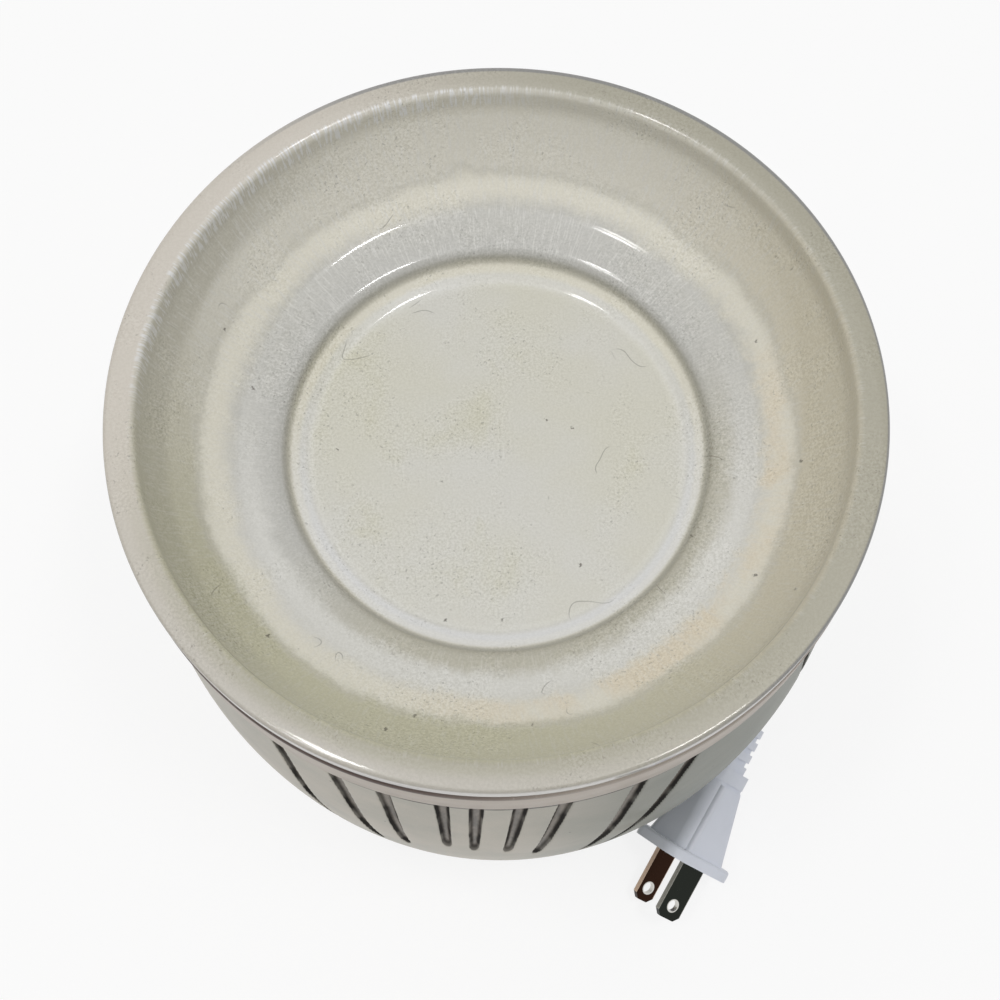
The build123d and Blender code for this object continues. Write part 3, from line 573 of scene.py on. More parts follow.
        # painted highlight in streaks on the lip at the back left
        lip = g.step(r, self.lip_r - 0.8, self.lip_r - 0.2) * g.step(r, self.lip_r + 1.8, self.lip_r + 1.0)
        lip = lip * g.step(on.z, 153.8, 155.2) * on.side(-0.66, 0.75, 0.55, 0.85)
        sand = g.step(g.noise(on.point, 1.8, 2.0, 0.75), 0.32, 0.68)
        gritty = 0.38 + 0.62 * g.step(patch, 0.42, 0.62)
        gritty = gritty * (1.0 - 0.4 * g.step(r, 72.5, 75.0)) * 0.54
        colour = g.coats(
            self.rim(g, on, rub, self.rings(g, on, patch, rub)),
            (steep * g.step(streak, 0.52, 0.68) * painted_sheen_share, self.pearl),
            (lip * g.step(streak, 0.46, 0.60) * 0.6, self.painted_highlight),
        )
        colour = g.mix(gritty, colour, g.mix(sand, self.pit, self.grain), "SOFT_LIGHT")
        dark, dull = self.specks(g, on, patch)
        glossy = g.band(r, 42.2, 1.2, 1.0) + g.step(r, self.crease_r + 0.5, self.crease_r + 1.5)
        glossy = g.math("MINIMUM", glossy, 1.0)
        ripple = g.noise(on.point, 0.11, 2.0, 0.4) + steep * streak * 0.08 + sand * 0.02
        return g.surface(
            Base_Color=g.mix(dark, colour, self.speck),
            Roughness=0.46 - 0.14 * glossy + 0.12 * patch + 0.25 * dull,
            IOR=1.5,
            Coat_Weight=0.12 + 0.55 * glossy,
            Coat_Roughness=0.07,
            Normal=g.bump(ripple, 0.5, 0.25),
        )


@dataclass(frozen=True)
class BodyGlaze:
    """Cream glaze over carved clay, with a dark wash left in the flutes, painted shade on the right front,
    a painted shadow line under the plain band and a darker joint under the dish's rim.
    """

    name: str = "body_glaze"
    cream: Colour = srgb(199, 192, 178)
    shade: Colour = srgb(185, 182, 170)
    # colour of the painted shade on the body's right front
    painted_shade_right: Colour = srgb(96, 104, 95)
    beige: Colour = srgb(196, 184, 172)
    floor: Colour = srgb(134, 124, 111)
    wash: Colour = srgb(16, 10, 7)
    seam: Colour = srgb(78, 60, 56)
    speck: Colour = srgb(84, 76, 66)
    band_z: float = 139.3
    rim_z: float = 151.4
    line_z: float = 135.4
    mouth_r: float = 76.5
    pit: Colour = (0.2, 0.2, 0.2)
    grain: Colour = (0.8, 0.8, 0.8)

    def build(self) -> bpy.types.Material:
        """Make the material.

        Returns:
            The finished material.
        """
        g = Graph(self.name)
        on = Turned(g)
        p, z = on.point, on.z
        gap = g.attribute("flute_gap")
        patch = g.noise(p, 0.045, 4.0, 0.55)
        wear = g.noise(g.vector("MULTIPLY", p, (1.0, 1.0, 0.18)), 0.5, 3.0, 0.6)
        outside = 1.0 - g.step(z, 100.0, 110.0) * g.step(on.r, self.mouth_r + 1.0, self.mouth_r)
        band = g.step(z, self.band_z - 0.4, self.band_z + 0.4)
        # darker in the joint under the dish's rim
        joint_dark = g.step(z, self.rim_z - 1.0, self.rim_z) * on.joint_darkness() * g.step(on.r, 78.4, 79.2)
        grime = g.mix(g.step(wear, 0.30, 0.75) * 0.6, self.floor, self.wash)
        brim = gap + (wear - 0.5) * 0.35
        rich = 0.66 + 0.32 * g.step(g.noise(p, 0.09, 1.0), 0.36, 0.56)
        edge = g.step(brim, 0.22, 0.0) * g.step(brim, -1.0, -0.30) * rich
        # painted shadow line under the plain band, in the wash's colour
        line = g.band(z, self.line_z, 0.6, 0.5) * g.step(gap, -0.4, 0.2) * outside
        spot, chance = g.cells(p, 0.22)
        colour = g.coats(
            self.cream,
            (g.step(patch, 0.40, 0.68) * 0.8, self.shade),
            # painted shade on the right front
            (on.side(0.80, -0.60, 0.54, 0.95) * outside * 0.8, self.painted_shade_right),
            (band * outside * 0.9, self.beige),
            (joint_dark * g.step(wear, 0.10, 0.40), self.seam),
            (g.step(gap, 0.0, -0.4), grime),
            (edge, self.wash),
            (line * rich * 0.8, self.wash),
            (g.step(spot, 0.08, 0.05) * g.step(chance, 0.78, 0.82) * 0.7, self.speck),
        )
        sand = g.noise(p, 3.0, 2.0, 0.7)
        colour = g.mix(0.35, colour, g.mix(sand, self.pit, self.grain), "SOFT_LIGHT")
        ripple = g.noise(p, 0.14, 2.0, 0.4)
        return g.surface(
            Base_Color=colour,
            Roughness=0.40 + 0.14 * patch + edge * 0.45,
            IOR=1.3,
            Coat_Weight=0.10 - edge * 0.10,
            Coat_Roughness=0.08,
            Normal=g.bump(ripple, 0.5, 0.3),
        )


@dataclass(frozen=True)
class Moulding:
    """Moulded plastic or vinyl with a faint mould texture."""

    name: str
    colour: Colour
    rough: float = 0.38
    grain_mm: float = 0.35
    dirt: float = 0.10

    def build(self) -> bpy.types.Material:
        """Make the material.

        Returns:
            The finished material.
        """
        g = Graph(self.name)
        p = g.place()
        broad = g.noise(p, 0.08, 3.0, 0.55)
        fine = g.noise(p, 1.0 / self.grain_mm, 2.0, 0.5)
        dull = tuple(0.72 * c for c in self.colour)
        colour = g.mix(g.step(broad, 0.45, 0.80) * self.dirt * 3.0, self.colour, dull)
        return g.surface(
            Base_Color=colour,
            Roughness=self.rough + 0.16 * (broad - 0.5) + 0.06 * fine,
            Normal=g.bump(fine, 0.25, 0.05),
        )


@dataclass(frozen=True)
class Metal:
    """Bare or plated metal with the marks of how it was worked."""

    name: str
    colour: Colour
    rough: float = 0.32
    grain: Grain = Grain.ROLLED
    tarnish: Colour = srgb(70, 62, 54)
    aged: float = 0.25

    def build(self) -> bpy.types.Material:
        """Make the material.

        Returns:
            The finished material.
        """
        g = Graph(self.name)
        p = g.place()
        stretch = {
            Grain.ROLLED: (0.4, 6.0, 6.0),
            Grain.TURNED: (0.5, 0.5, 9.0),
            Grain.CAST: (1.6, 1.6, 1.6),
        }[self.grain]
        lines = g.noise(g.vector("MULTIPLY", p, stretch), 0.6, 3.0, 0.6)
        darkening = g.noise(p, 0.12, 4.0, 0.6)
        colour = g.mix(g.step(darkening, 0.42, 0.75) * self.aged * 2.0, self.colour, self.tarnish)
        return g.surface(
            Base_Color=colour,
            Metallic=1.0,
            Roughness=self.rough + 0.22 * (lines - 0.5) + 0.2 * (darkening - 0.5),
            Normal=g.bump(lines, 0.2, 0.04),
        )


@dataclass(frozen=True)
class BladeFinish:
    """Plug blades with painted light and shade: broad faces dark as the shade they reflect, side faces
    painted light, and a painted highlight round each hole.
    """

    name: str = "blade_nickel"
    front: Point3 = (47.0, -77.3, 13.6)
    back_way: Point3 = (0.52, 0.83, 0.2)
    spread_way: Point3 = (0.395, -0.513, 0.762)
    half_w: Point2 = (3.175, 3.97)
    hole_at: float = -12.0
    hole_r: float = 1.6
    # faces: painted reflection of the shade under the body, browner on one blade and greener on the other;
    # edges: painted light on the side faces
    faces: tuple[Colour, Colour] = (srgb(46, 30, 22), srgb(40, 43, 39))
    edges: tuple[Colour, Colour] = (srgb(222, 194, 170), srgb(172, 170, 162))
    painted_highlight: Colour = srgb(226, 224, 218)

    def build(self) -> bpy.types.Material:
        """Make the material.

        Returns:
            The finished material.
        """
        g = Graph(self.name)
        point = g.place()
        back = Vector(self.back_way).normalized()
        spread = Vector(self.spread_way)
        spread = (spread - back * spread.dot(back)).normalized()
        rel = g.vector("SUBTRACT", point, self.front)
        along, apart, across = (
            g.vector("DOT_PRODUCT", rel, tuple(way)) for way in (back, spread, back.cross(spread))
        )
        which = g.step(apart, -0.5, 0.5)
        half = self.half_w[0] + which * (self.half_w[1] - self.half_w[0])
        lines = g.noise(g.vector("MULTIPLY", point, (3.0, 3.0, 3.0)), 0.6, 3.0, 0.6)
        # the blades' side faces, painted lighter as light falls on them
        painted_side_lighting = g.step(abs(across) - half + (lines - 0.5) * 0.2, -0.22, -0.05)
        colour = g.mix(which, self.faces[0], self.faces[1])
        colour = g.mix(painted_side_lighting * 0.9, colour, g.mix(which, self.edges[0], self.edges[1]))
        reach = g.vector("LENGTH", g.joined(across, along - self.hole_at, 0.0))
        # painted highlight round the hole
        rim = g.band(reach, self.hole_r + 0.12, 0.10, 0.16)
        colour = g.mix(rim * 0.85, colour, self.painted_highlight)
        return g.surface(
            Base_Color=colour,
            Metallic=1.0 - 0.6 * painted_side_lighting,
            Roughness=0.30 + 0.25 * (lines - 0.5) + 0.12 * painted_side_lighting,
            Normal=g.bump(lines, 0.2, 0.04),
        )


@dataclass(frozen=True)
class Sleeve:
    """Braided glass-fibre sleeve on the inner wires."""

    name: str = "glass_sleeve"
    thread: Colour = srgb(226, 222, 208)
    gap: Colour = srgb(168, 160, 140)

    def build(self) -> bpy.types.Material:
        """Make the material.

        Returns:
            The finished material.
        """
        g = Graph(self.name)
        p = g.place()
        x, y, z = g.split(p)
        left = g.math("SINE", (z + x + y) * 5.0)
        right = g.math("SINE", (z - x - y) * 5.0)
        weave = g.step(left * right, -0.7, 0.5)
        return g.surface(
            Base_Color=g.mix(weave, self.gap, self.thread),
            Roughness=0.7 + 0.1 * weave,
            Normal=g.bump(weave, 0.4, 0.12),
        )


def arc(start: Point2, through: Point2, end: Point2, count: int) -> list[Point2]:
    """Points of a three-point arc, without its first.

    Args:
        start, through, end: points of the half plane.
        count: number of points.

    Returns:
        The points after start, up to end.
    """
    (ax, ay), (bx, by), (cx, cy) = start, through, end
    twice = 2.0 * (ax * (by - cy) + bx * (cy - ay) + cx * (ay - by))
    sa, sb, sc = ax * ax + ay * ay, bx * bx + by * by, cx * cx + cy * cy
    ux = (sa * (by - cy) + sb * (cy - ay) + sc * (ay - by)) / twice
    uy = (sa * (cx - bx) + sb * (ax - cx) + sc * (bx - ax)) / twice
    radius = math.hypot(ax - ux, ay - uy)
    first = math.atan2(ay - uy, ax - ux)

    def turn(px: float, py: float) -> float:
        """Angle from the start, counted one way."""
        return (math.atan2(py - uy, px - ux) - first) % (2.0 * math.pi)

    sweep = turn(cx, cy)
    if turn(bx, by) > sweep:
        sweep -= 2.0 * math.pi
    angles = [first + sweep * k / count for k in range(1, count + 1)]
    return [(ux + radius * math.cos(a), uy + radius * math.sin(a)) for a in angles]


def on_round(middle: Point2, radius: float, angle: float) -> Point2:
    """Point on a rounding in the profile's plane, at an angle in degrees."""
    turn = math.radians(angle)
    return (middle[0] + radius * math.cos(turn), middle[1] + radius * math.sin(turn))


def straight(start: Point2, end: Point2, count: int) -> list[Point2]:
    """Evenly spaced points of a straight run, without its first."""
    steps = [k / count for k in range(1, count + 1)]
    return [(start[0] + (end[0] - start[0]) * t, start[1] + (end[1] - start[1]) * t) for t in steps]


def flowing(points: Sequence[Point2], count: int) -> list[Point2]:
    """Smooth curve through points of the half plane.

    Args:
        points: where it passes.
        count: points for each stretch.

    Returns:
        The points after the first, up to the last.
    """
    knots = [Vector((*p, 0.0)) for p in points]
    slopes = []
    for i in range(len(knots)):
        low, high = max(i - 1, 0), min(i + 1, len(knots) - 1)
        slopes.append((knots[high] - knots[low]) / (high - low))
    curve: list[Point2] = []
    for i in range(len(knots) - 1):
        a, b = knots[i], knots[i + 1]
        made = interpolate_bezier(a, a + slopes[i] / 3.0, b - slopes[i + 1] / 3.0, b, count + 1)
        curve += [(p.x, p.y) for p in made[1:]]
    return curve


def softened(points: list[Point2], passes: int) -> list[Point2]:
    """Round a profile's corners as a glaze does, with its ends kept.

    Args:
        points: evenly spaced points.
        passes: number of smoothing passes.

    Returns:
        The rounded points.
    """
    for _ in range(passes):
        inner = [
            ((a[0] + 2.0 * b[0] + c[0]) / 4.0, (a[1] + 2.0 * b[1] + c[1]) / 4.0)
            for a, b, c in zip(points, points[1:], points[2:])
        ]
        points = [points[0], *inner, points[-1]]
    return points


def spun(profile: Sequence[Point2], steps: int, closed: bool) -> bmesh.types.BMesh:
    """Turn a profile about the Z axis.

    Args:
        profile: radius and height of each point, in millimetres.
        steps: number of divisions round the axis.
        closed: whether the last point joins the first.

    Returns:
        The turned mesh, in metres.
    """
    bm = bmesh.new()
    verts = [bm.verts.new((r * MM, 0.0, z * MM)) for r, z in profile]
    pairs = list(zip(verts, verts[1:])) + ([(verts[-1], verts[0])] if closed else [])
    edges = [bm.edges.new(pair) for pair in pairs]
    bmesh.ops.spin(
        bm, geom=verts + edges, cent=(0, 0, 0), axis=(0, 0, 1), dvec=(0, 0, 0),
        angle=2.0 * math.pi, steps=steps, use_merge=True, use_duplicate=False,
    )
    bmesh.ops.remove_doubles(bm, verts=bm.verts, dist=1e-6)
    bmesh.ops.recalc_face_normals(bm, faces=bm.faces)
    return bm


def placed(name: str, data: bpy.types.ID) -> bpy.types.Object:
    """Put a mesh, curve, lamp or camera into the scene.

    Args:
        name: name of the object.
        data: what it shows.

    Returns:
        The new object.
    """
    made = bpy.data.objects.new(name, data)
    bpy.context.scene.collection.objects.link(made)
    return made


def as_object(
    bm: bmesh.types.BMesh, name: str, material: bpy.types.Material, body: Rides
) -> bpy.types.Object:
    """Make a piece of a mesh and let it ride on a body.

    Args:
        bm: the mesh, which is freed.
        name: name of the piece.
        material: its finish.
        body: what it rides on.

    Returns:
        The new object.
    """
    mesh = bpy.data.meshes.new(name)
    for face in bm.faces:
        face.smooth = True
    bm.to_mesh(mesh)
    bm.free()
    mesh.materials.append(material)
    made = placed(name, mesh)
    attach(made, body.value)
    LOG.info("%s: %d faces", name, len(mesh.polygons))
    return made


def dress(material: bpy.types.Material, *nodes: str) -> None:
    """Give solids a finish.

    Args:
        material: the finish.
        nodes: names of the solids' nodes.
    """
    for node in nodes:
        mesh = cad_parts[node].data
        mesh.materials.clear()
        mesh.materials.append(material)
        LOG.info("%s wears %s", node, material.name)


@dataclass
class MeltDish:
    """Loose dish: flat middle, two coves and a flat-topped rim."""

    rim_r: float = 80.0
    disc_r: float = 40.0
    disc_z: float = 130.0
    floor_t: float = 4.2
    seat_z: float = 152.5
    bead_h: float = 6.5
    lip_r: float = 1.5
    edge_r: float = 0.8
    crown: float = 0.05
    step_in_r: float = 46.0
    step_out_r: float = 63.8
    spigot_r: float = 74.4
    spigot_h: float = 3.5
    under: tuple[Point2, ...] = ((70.4, 141.0), (65.0, 135.8), (56.5, 131.8), (49.0, 128.4))
    under_r: float = 43.5
    steps: int = 288
    wobble: float = 0.18
    wobble_grow: float = 35.0
    wobble_scale: float = 0.03
    glaze: DishGlaze = field(default_factory=DishGlaze)

    def profile(self) -> list[Point2]:
        """Draw the dish's section.

        Returns:
            Radius and height along the top and the underside.
        """
        top = self.seat_z + self.bead_h
        low = self.disc_z - self.floor_t
        inner, outer = self.step_in_r, self.step_out_r
        flat_end = (self.disc_r + 0.9, self.disc_z)
        cove_in = (self.disc_r + 2.4, self.disc_z + 0.4)
        crease_in = (inner, self.disc_z + 2.1)
        shoulder = (inner + 3.4, self.disc_z + 5.1)
        ledge_end = (outer - 7.8, self.disc_z + 6.7)
        cove_out = (outer - 6.0, self.disc_z + 7.5)
        crease_out = (outer, self.disc_z + 11.0)
        lip = (self.rim_r - 6.8, self.seat_z + 1.1)
        lip_mid = (lip[0] + 0.3 + self.lip_r, top - self.crown - self.lip_r)
        edge_mid = (self.rim_r - self.edge_r, top - self.crown - self.edge_r)
        lip_side = on_round(lip_mid, self.lip_r, 180.0)
        lip_top = on_round(lip_mid, self.lip_r, 94.0)
        edge_top = on_round(edge_mid, self.edge_r, 86.0)
        edge_side = on_round(edge_mid, self.edge_r, 0.0)
        turn_under = (self.rim_r, self.seat_z + 2.2)
        foot = (self.rim_r - 0.8, self.seat_z)
        upper = [(flat_end[0] * k / 10.0, self.disc_z) for k in range(11)]
        upper += arc(flat_end, (self.disc_r + 1.7, self.disc_z + 0.1), cove_in, 4)
        upper += straight(cove_in, crease_in, 6)
        upper += arc(crease_in, (inner + 1.0, self.disc_z + 3.9), shoulder, 9)
        upper += straight(shoulder, ledge_end, 8)
        upper += arc(ledge_end, (outer - 6.9, self.disc_z + 7.02), cove_out, 4)
        upper += straight(cove_out, crease_out, 8)
        upper += arc(crease_out, (outer + 4.6, self.disc_z + 16.3), lip, 18)
        upper += straight(lip, lip_side, 5)
        upper += arc(lip_side, on_round(lip_mid, self.lip_r, 135.0), lip_top, 7)
        upper += arc(lip_top, ((lip_top[0] + edge_top[0]) / 2.0, top), edge_top, 8)
        upper += arc(edge_top, on_round(edge_mid, self.edge_r, 45.0), edge_side, 7)
        upper += straight(edge_side, turn_under, 4)
        upper += arc(turn_under, (self.rim_r - 0.2, self.seat_z + 0.9), foot, 5)
        points = softened(upper, 2)
        points += [(self.spigot_r, self.seat_z), (self.spigot_r, self.seat_z - self.spigot_h)]
        points += flowing([points[-1], *self.under, (self.under_r, low)], 5)
        points += [(self.disc_r * k / 4.0, low) for k in range(4, -1, -1)]
        return points

    def build(self) -> None:
        """Turn the dish, give it a potter's slight unevenness and glaze it."""
        bm = spun(self.profile(), self.steps, closed=False)
        for vert in bm.verts:
            flat = Vector((vert.co.x, vert.co.y, 0.0)) / MM
            share = clamped((flat.length - self.disc_r) / self.wobble_grow)
            vert.co.z += noise.noise(flat * self.wobble_scale) * self.wobble * share * MM
        made = as_object(bm, "glazed_dish", self.glaze.build(), Rides.DISH)
        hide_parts("melt_dish")


@dataclass
class FlutedBody:
    """Cast shell with a plain band and fans of carved flutes."""

    seat_z: float = 152.5
    mouth_r: float = 75.0
    collar_r: float = 80.2
    collar_h: float = 13.2
    belly: Point2 = (82.4, 92.0)
    foot_r: float = 67.5
    foot_z: float = 2.0
    foot_in_r: float = 60.5
    base_top: float = 7.5
    rib: Point2 = (68.5, 121.0)
    fans: int = 4
    fan_turn: float = -9.6
    flute_top: tuple[float, ...] = (-27.0, -16.8, -9.1, -0.2, 4.9, 11.4, 18.1, 29.6, 38.3)
    flute_end: tuple[float, ...] = (-20.7, -12.7, -7.5, -0.4, 3.8, 9.0, 13.6, 21.6, 26.6)
    flute_end_z: tuple[float, ...] = (55.0, 70.0, 80.0, 91.0, 89.0, 87.0, 80.0, 53.0, 60.0)
    flute_top_z: float = 137.0
    flute_w: float = 3.0
    flute_tip: float = 5.0
    flute_taper: float = 0.36
    flute_depth: float = 1.1
    flute_brim: float = 0.15
    flute_bank: float = 1.35
    fine_reach: float = 1.6
    clear_gap: float = 5.0
    skin_r: float = 77.9
    steps: int = 360
    glaze: BodyGlaze = field(default_factory=BodyGlaze)

    def profile(self) -> list[Point2]:
        """Draw the shell's section.

        Returns:
            Radius and height all round it.
        """
        band = self.seat_z - self.collar_h
        rim = self.collar_r
        points: list[Point2] = [(self.mouth_r, self.seat_z), (rim - 1.2, self.seat_z)]
        points += arc(points[-1], (rim - 0.35, self.seat_z - 0.35), (rim, self.seat_z - 1.2), 5)
        points += [(rim, band + 6.0), (rim, band + 0.4), (rim - 0.3, band), (rim - 1.3, band - 0.9)]
        side = [
            (79.5, self.flute_top_z + 0.4),
            self.belly,
            (80.6, 52.0),
            (75.6, 25.0),
            (self.foot_r + 2.3, self.foot_z + 2.5),
        ]
        points += [side[0]] + flowing(side, 12)
        heel = (self.foot_r - 0.6, self.foot_z)
        points += arc(side[-1], (self.foot_r + 1.3, self.foot_z + 0.7), heel, 5)
        step = self.foot_in_r - 5.0
        points += [(self.foot_in_r, self.foot_z), (self.foot_in_r, self.base_top), (step, self.base_top)]
        inside = [(63.5, 18.0), (69.8, 30.0), (74.6, 54.0), (76.3, self.belly[1]), (74.6, 107.0)]
        points += [(step, self.base_top + 5.0), inside[0]]
        points += flowing(inside, 4)
        points += [(self.rib[0], self.rib[1] - 7.5), self.rib, (self.mouth_r, self.rib[1])]
        return points

    def gap(self, spot: Vector) -> float:
        """Distance from a point of the skin to the nearest flute's edge.

        Args:
            spot: the point, in metres.

        Returns:
            Millimetres, below 0 inside a flute.
        """
        x, y, z = spot / MM
        radius = math.hypot(x, y)
        turn = math.degrees(math.atan2(x, -y)) - self.fan_turn
        pitch = 360.0 / self.fans
        turn = (turn + pitch / 2.0) % pitch - pitch / 2.0
        nearest = math.inf
        for top, end, low in zip(self.flute_top, self.flute_end, self.flute_end_z):
            span = self.flute_top_z - low
            lean = math.cos(math.atan2(radius * math.radians(top - end), span))
            up = (z - low) / span
            middle = end + (top - end) * up
            half = self.flute_w / 2.0 * (1.0 - self.flute_taper * clamped(1.0 - up))
            across = radius * math.radians(turn - middle) * lean
            below = max(0.0, low + self.flute_tip - z) * half / (self.flute_tip + half)
            nearest = min(nearest, math.hypot(across, below) - half)
        return nearest

    def on_skin(self, spot: Vector) -> bool:
        """Whether a point lies on the outer side below the plain band."""
        outer = math.hypot(spot.x, spot.y) / MM > self.skin_r
        return outer and min(self.flute_end_z) - 6.0 < spot.z / MM < self.flute_top_z + 0.6

    def carve(self, bm: bmesh.types.BMesh) -> None:
        """Refine the skin round the flutes and sink them.

        Args:
            bm: the turned shell.
        """
        middles = ((face, face.calc_center_median()) for face in bm.faces)
        near = [face for face, spot in middles if self.on_skin(spot) and self.gap(spot) < self.fine_reach]
        edges = list({e for f in near for e in f.edges})
        bmesh.ops.subdivide_edges(bm, edges=edges, cuts=3, use_grid_fill=True)
        layer = bm.verts.layers.float.new("flute_gap")
        for vert in bm.verts:
            vert[layer] = self.clear_gap
            if not self.on_skin(vert.co):
                continue
            gap = self.gap(vert.co)
            vert[layer] = min(gap, self.clear_gap)
            share = clamped((self.flute_brim - gap) / self.flute_bank)
            sink = self.flute_depth * share * (2.0 - share)
            out = Vector((vert.co.x, vert.co.y, 0.0)).normalized()
            vert.co -= out * sink * MM

    def build(self) -> None:
        """Turn the shell, carve it and glaze it."""
        bm = spun(self.profile(), self.steps, closed=True)
        self.carve(bm)
        made = as_object(bm, "carved_body", self.glaze.build(), Rides.WARMER)
        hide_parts("fluted_body")


@dataclass
class Heater:
    """What the dish hides: tray, hot plate, element, controls and wiring."""

    def build(self) -> None:
        """Dress the inner solids."""
        tray = Moulding("tray_plastic", srgb(206, 205, 198), 0.5)
        steel = Metal("zinc_steel", srgb(176, 176, 172), 0.36)
        dress(tray.build(), "heater_tray", "terminal_block")
        dress(Metal("plate_aluminium", srgb(190, 190, 188), 0.42, Grain.CAST).build(), "hot_plate")
        dress(
            steel.build(), "heating_element", "clamp_plate", "clamp_screws", "plate_screws",
            "thermostat_screws", "thermal_fuse", "tie_rod", "rod_washers", "rod_nuts", "switch_screws",
        )
        dress(Moulding("mica_paper", srgb(214, 206, 180), 0.7, 0.8).build(), "insulation_pad")
        dress(Moulding("phenolic", srgb(40, 36, 34), 0.45).build(), "thermostat")
        dress(Sleeve().build(), "lead_live", "lead_neutral", "element_jumper")
        brass = Metal("brass", srgb(200, 168, 96), 0.3, Grain.TURNED)
        dress(brass.build(), "terminal_screws", "switch_contacts")


@dataclass
class Base:
    """Underside: pressed plate and rubber feet."""

    def build(self) -> None:
        """Dress the base."""
        dress(Moulding("base_paint", srgb(200, 199, 193), 0.42, 0.6).build(), "base_plate")
        dress(Moulding("foot_rubber", srgb(46, 45, 44), 0.75, 0.5).build(), "rubber_feet")


@dataclass
class Cord:
    """Mains cord: out of the back, into a put-away coil, through the switch and on to the plug."""

    radius: float = 2.5
    exit_at: Point3 = (0.0, 80.0, 20.0)
    start: Point3 = (0.0, 51.0, 20.0)
    coil_c: Point2 = (37.0, 133.0)
    coil_r: float = 38.5
    pitch: float = 6.4
    layer: float = 6.0
    turns: int = 3
    coil_z: float = 3.5
    climb: float = 0.5
    end_turns: float = 2.875
    switch_x: float = 93.0
    switch_far: float = 103.0
    switch_near: float = 27.0
    switch_z: float = 9.5
    tail: Point3 = (69.4, -41.6, 22.0)
    tail_back: Point3 = (0.52, 0.83, 0.2)
    leave_y: float = 96.0
    settle: float = 13.0
    switch_lead: float = 21.0
    tail_lead: float = 20.0
    points_per_turn: int = 24
    on_cord: tuple[str, ...] = (
        "cord_bushing", "cord_tie", "switch_upper_shell", "switch_lower_shell", "switch_rocker",
        "switch_contacts", "switch_screws",
    )

    def coil_point(self, turn: float) -> Vector:
        """Point of the coil's middle line after some turns.

        Args:
            turn: turns from the coil's start.

        Returns:
            The point, in millimetres.
        """
        inner = self.coil_r - self.pitch * self.turns
        rise = clamped((turn - self.turns) / self.climb)
        radius = inner
        if turn <= self.turns:
            radius = self.coil_r - self.pitch * turn
        elif turn > self.turns + self.climb:
            radius = inner + self.pitch * (turn - self.turns - self.climb)
        angle = math.pi - 2.0 * math.pi * turn
        height = self.coil_z + self.layer * rise * rise * (3.0 - 2.0 * rise)
        out = Vector((math.cos(angle), math.sin(angle), 0.0))
        return Vector((*self.coil_c, height)) + out * radius

    def long_route(self) -> list[Vector]:
        """Lead the cord from the bushing through the coil to the switch.

        Returns:
            Control points, in millimetres.
        """
        last = self.turns + self.climb + self.end_turns
        count = round(last * self.points_per_turn)
        coil = [self.coil_point(last * k / count) for k in range(count + 1)]
        lead_in = coil[0] - Vector((0.0, 2.0 * self.radius, 0.0))
        angle = math.pi - 2.0 * math.pi * last
        out = Vector((math.sin(angle), -math.cos(angle), 0.0))
        lead_out = coil[-1] + out * 2.0 * self.radius
        corner = lead_out + out * ((self.switch_x - lead_out.x) / out.x)
        return [
            Vector(self.start),
            Vector((0.0, self.leave_y, self.exit_at[2])),
            lead_in - Vector((0.0, self.settle, 0.0)),
            lead_in,
            *coil,
            lead_out,
            corner,
            Vector((self.switch_x, self.switch_far, self.switch_z)),
        ]

    def short_route(self) -> list[Vector]:
        """Lead the cord from the switch to the plug.

        Returns:
            Control points, in millimetres.
        """
        back = Vector(self.tail_back).normalized()
        tail = Vector(self.tail)
        return [
            Vector((self.switch_x, self.switch_near, self.switch_z)),
            Vector((self.switch_x, self.switch_near - self.switch_lead, self.switch_z)),
            tail + back * self.tail_lead,
            tail,
        ]

    def lay(
        self, name: str, route: Sequence[Vector], material: bpy.types.Material
    ) -> tuple[bpy.types.Object, float]:
        """Lay one stretch of cord on a smooth spline.

        Args:
            name: name of the piece.
            route: control points, in millimetres.
            material: its finish.

        Returns:
            The curve and its length in metres.
        """
        curve = bpy.data.curves.new(name, "CURVE")
        curve.dimensions = "3D"
        spline = curve.splines.new("NURBS")
        spline.points.add(len(route) - 1)
        for point, spot in zip(spline.points, route):
            point.co = (*(spot * MM), 1.0)
        spline.order_u = 3
        spline.use_endpoint_u = True
        spline.resolution_u = 6
        made = placed(name, curve)
        bare = bpy.data.meshes.new_from_object(made)
        spots = [v.co.copy() for v in bare.vertices]
        bpy.data.meshes.remove(bare)
        length = sum((b - a).length for a, b in zip(spots, spots[1:]))
        curve.bevel_depth = self.radius * MM
        curve.bevel_resolution = 6
        curve.use_fill_caps = True
        curve.materials.append(material)
        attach(made, Rides.WARMER.value)
        LOG.info("%s: %.3f m", name, length)
        return made, length

    def build(self) -> None:
        """Lay both stretches and dress what is on the cord."""
        vinyl = Moulding("cord_vinyl", srgb(196, 200, 204), 0.45, 0.5).build()
        dress(vinyl, "cord_bushing")
        dress(Moulding("strap_plastic", srgb(178, 178, 176), 0.5, 0.5).build(), "cord_tie")
        long, long_m = self.lay("mains_cord", self.long_route(), vinyl)
        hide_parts("cord_lead", "cord_coil", "cord_to_switch")
        short, short_m = self.lay("plug_cord", self.short_route(), vinyl)
        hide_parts("cord_to_plug")


@dataclass
class InlineSwitch:
    """Two moulded shells and a rocker."""

    def build(self) -> None:
        """Dress the switch."""
        shell = Moulding("switch_plastic", srgb(204, 208, 212), 0.34)
        dress(shell.build(), "switch_upper_shell", "switch_lower_shell")
        dress(Moulding("rocker_plastic", srgb(216, 218, 220), 0.28).build(), "switch_rocker")


@dataclass
class Plug:
    """Moulded plug and its two blades."""

    def build(self) -> None:
        """Dress the plug."""
        dress(Moulding("plug_vinyl", srgb(226, 230, 240), 0.36, 0.6).build(), "plug_body")
        dress(BladeFinish().build(), "plug_blades")


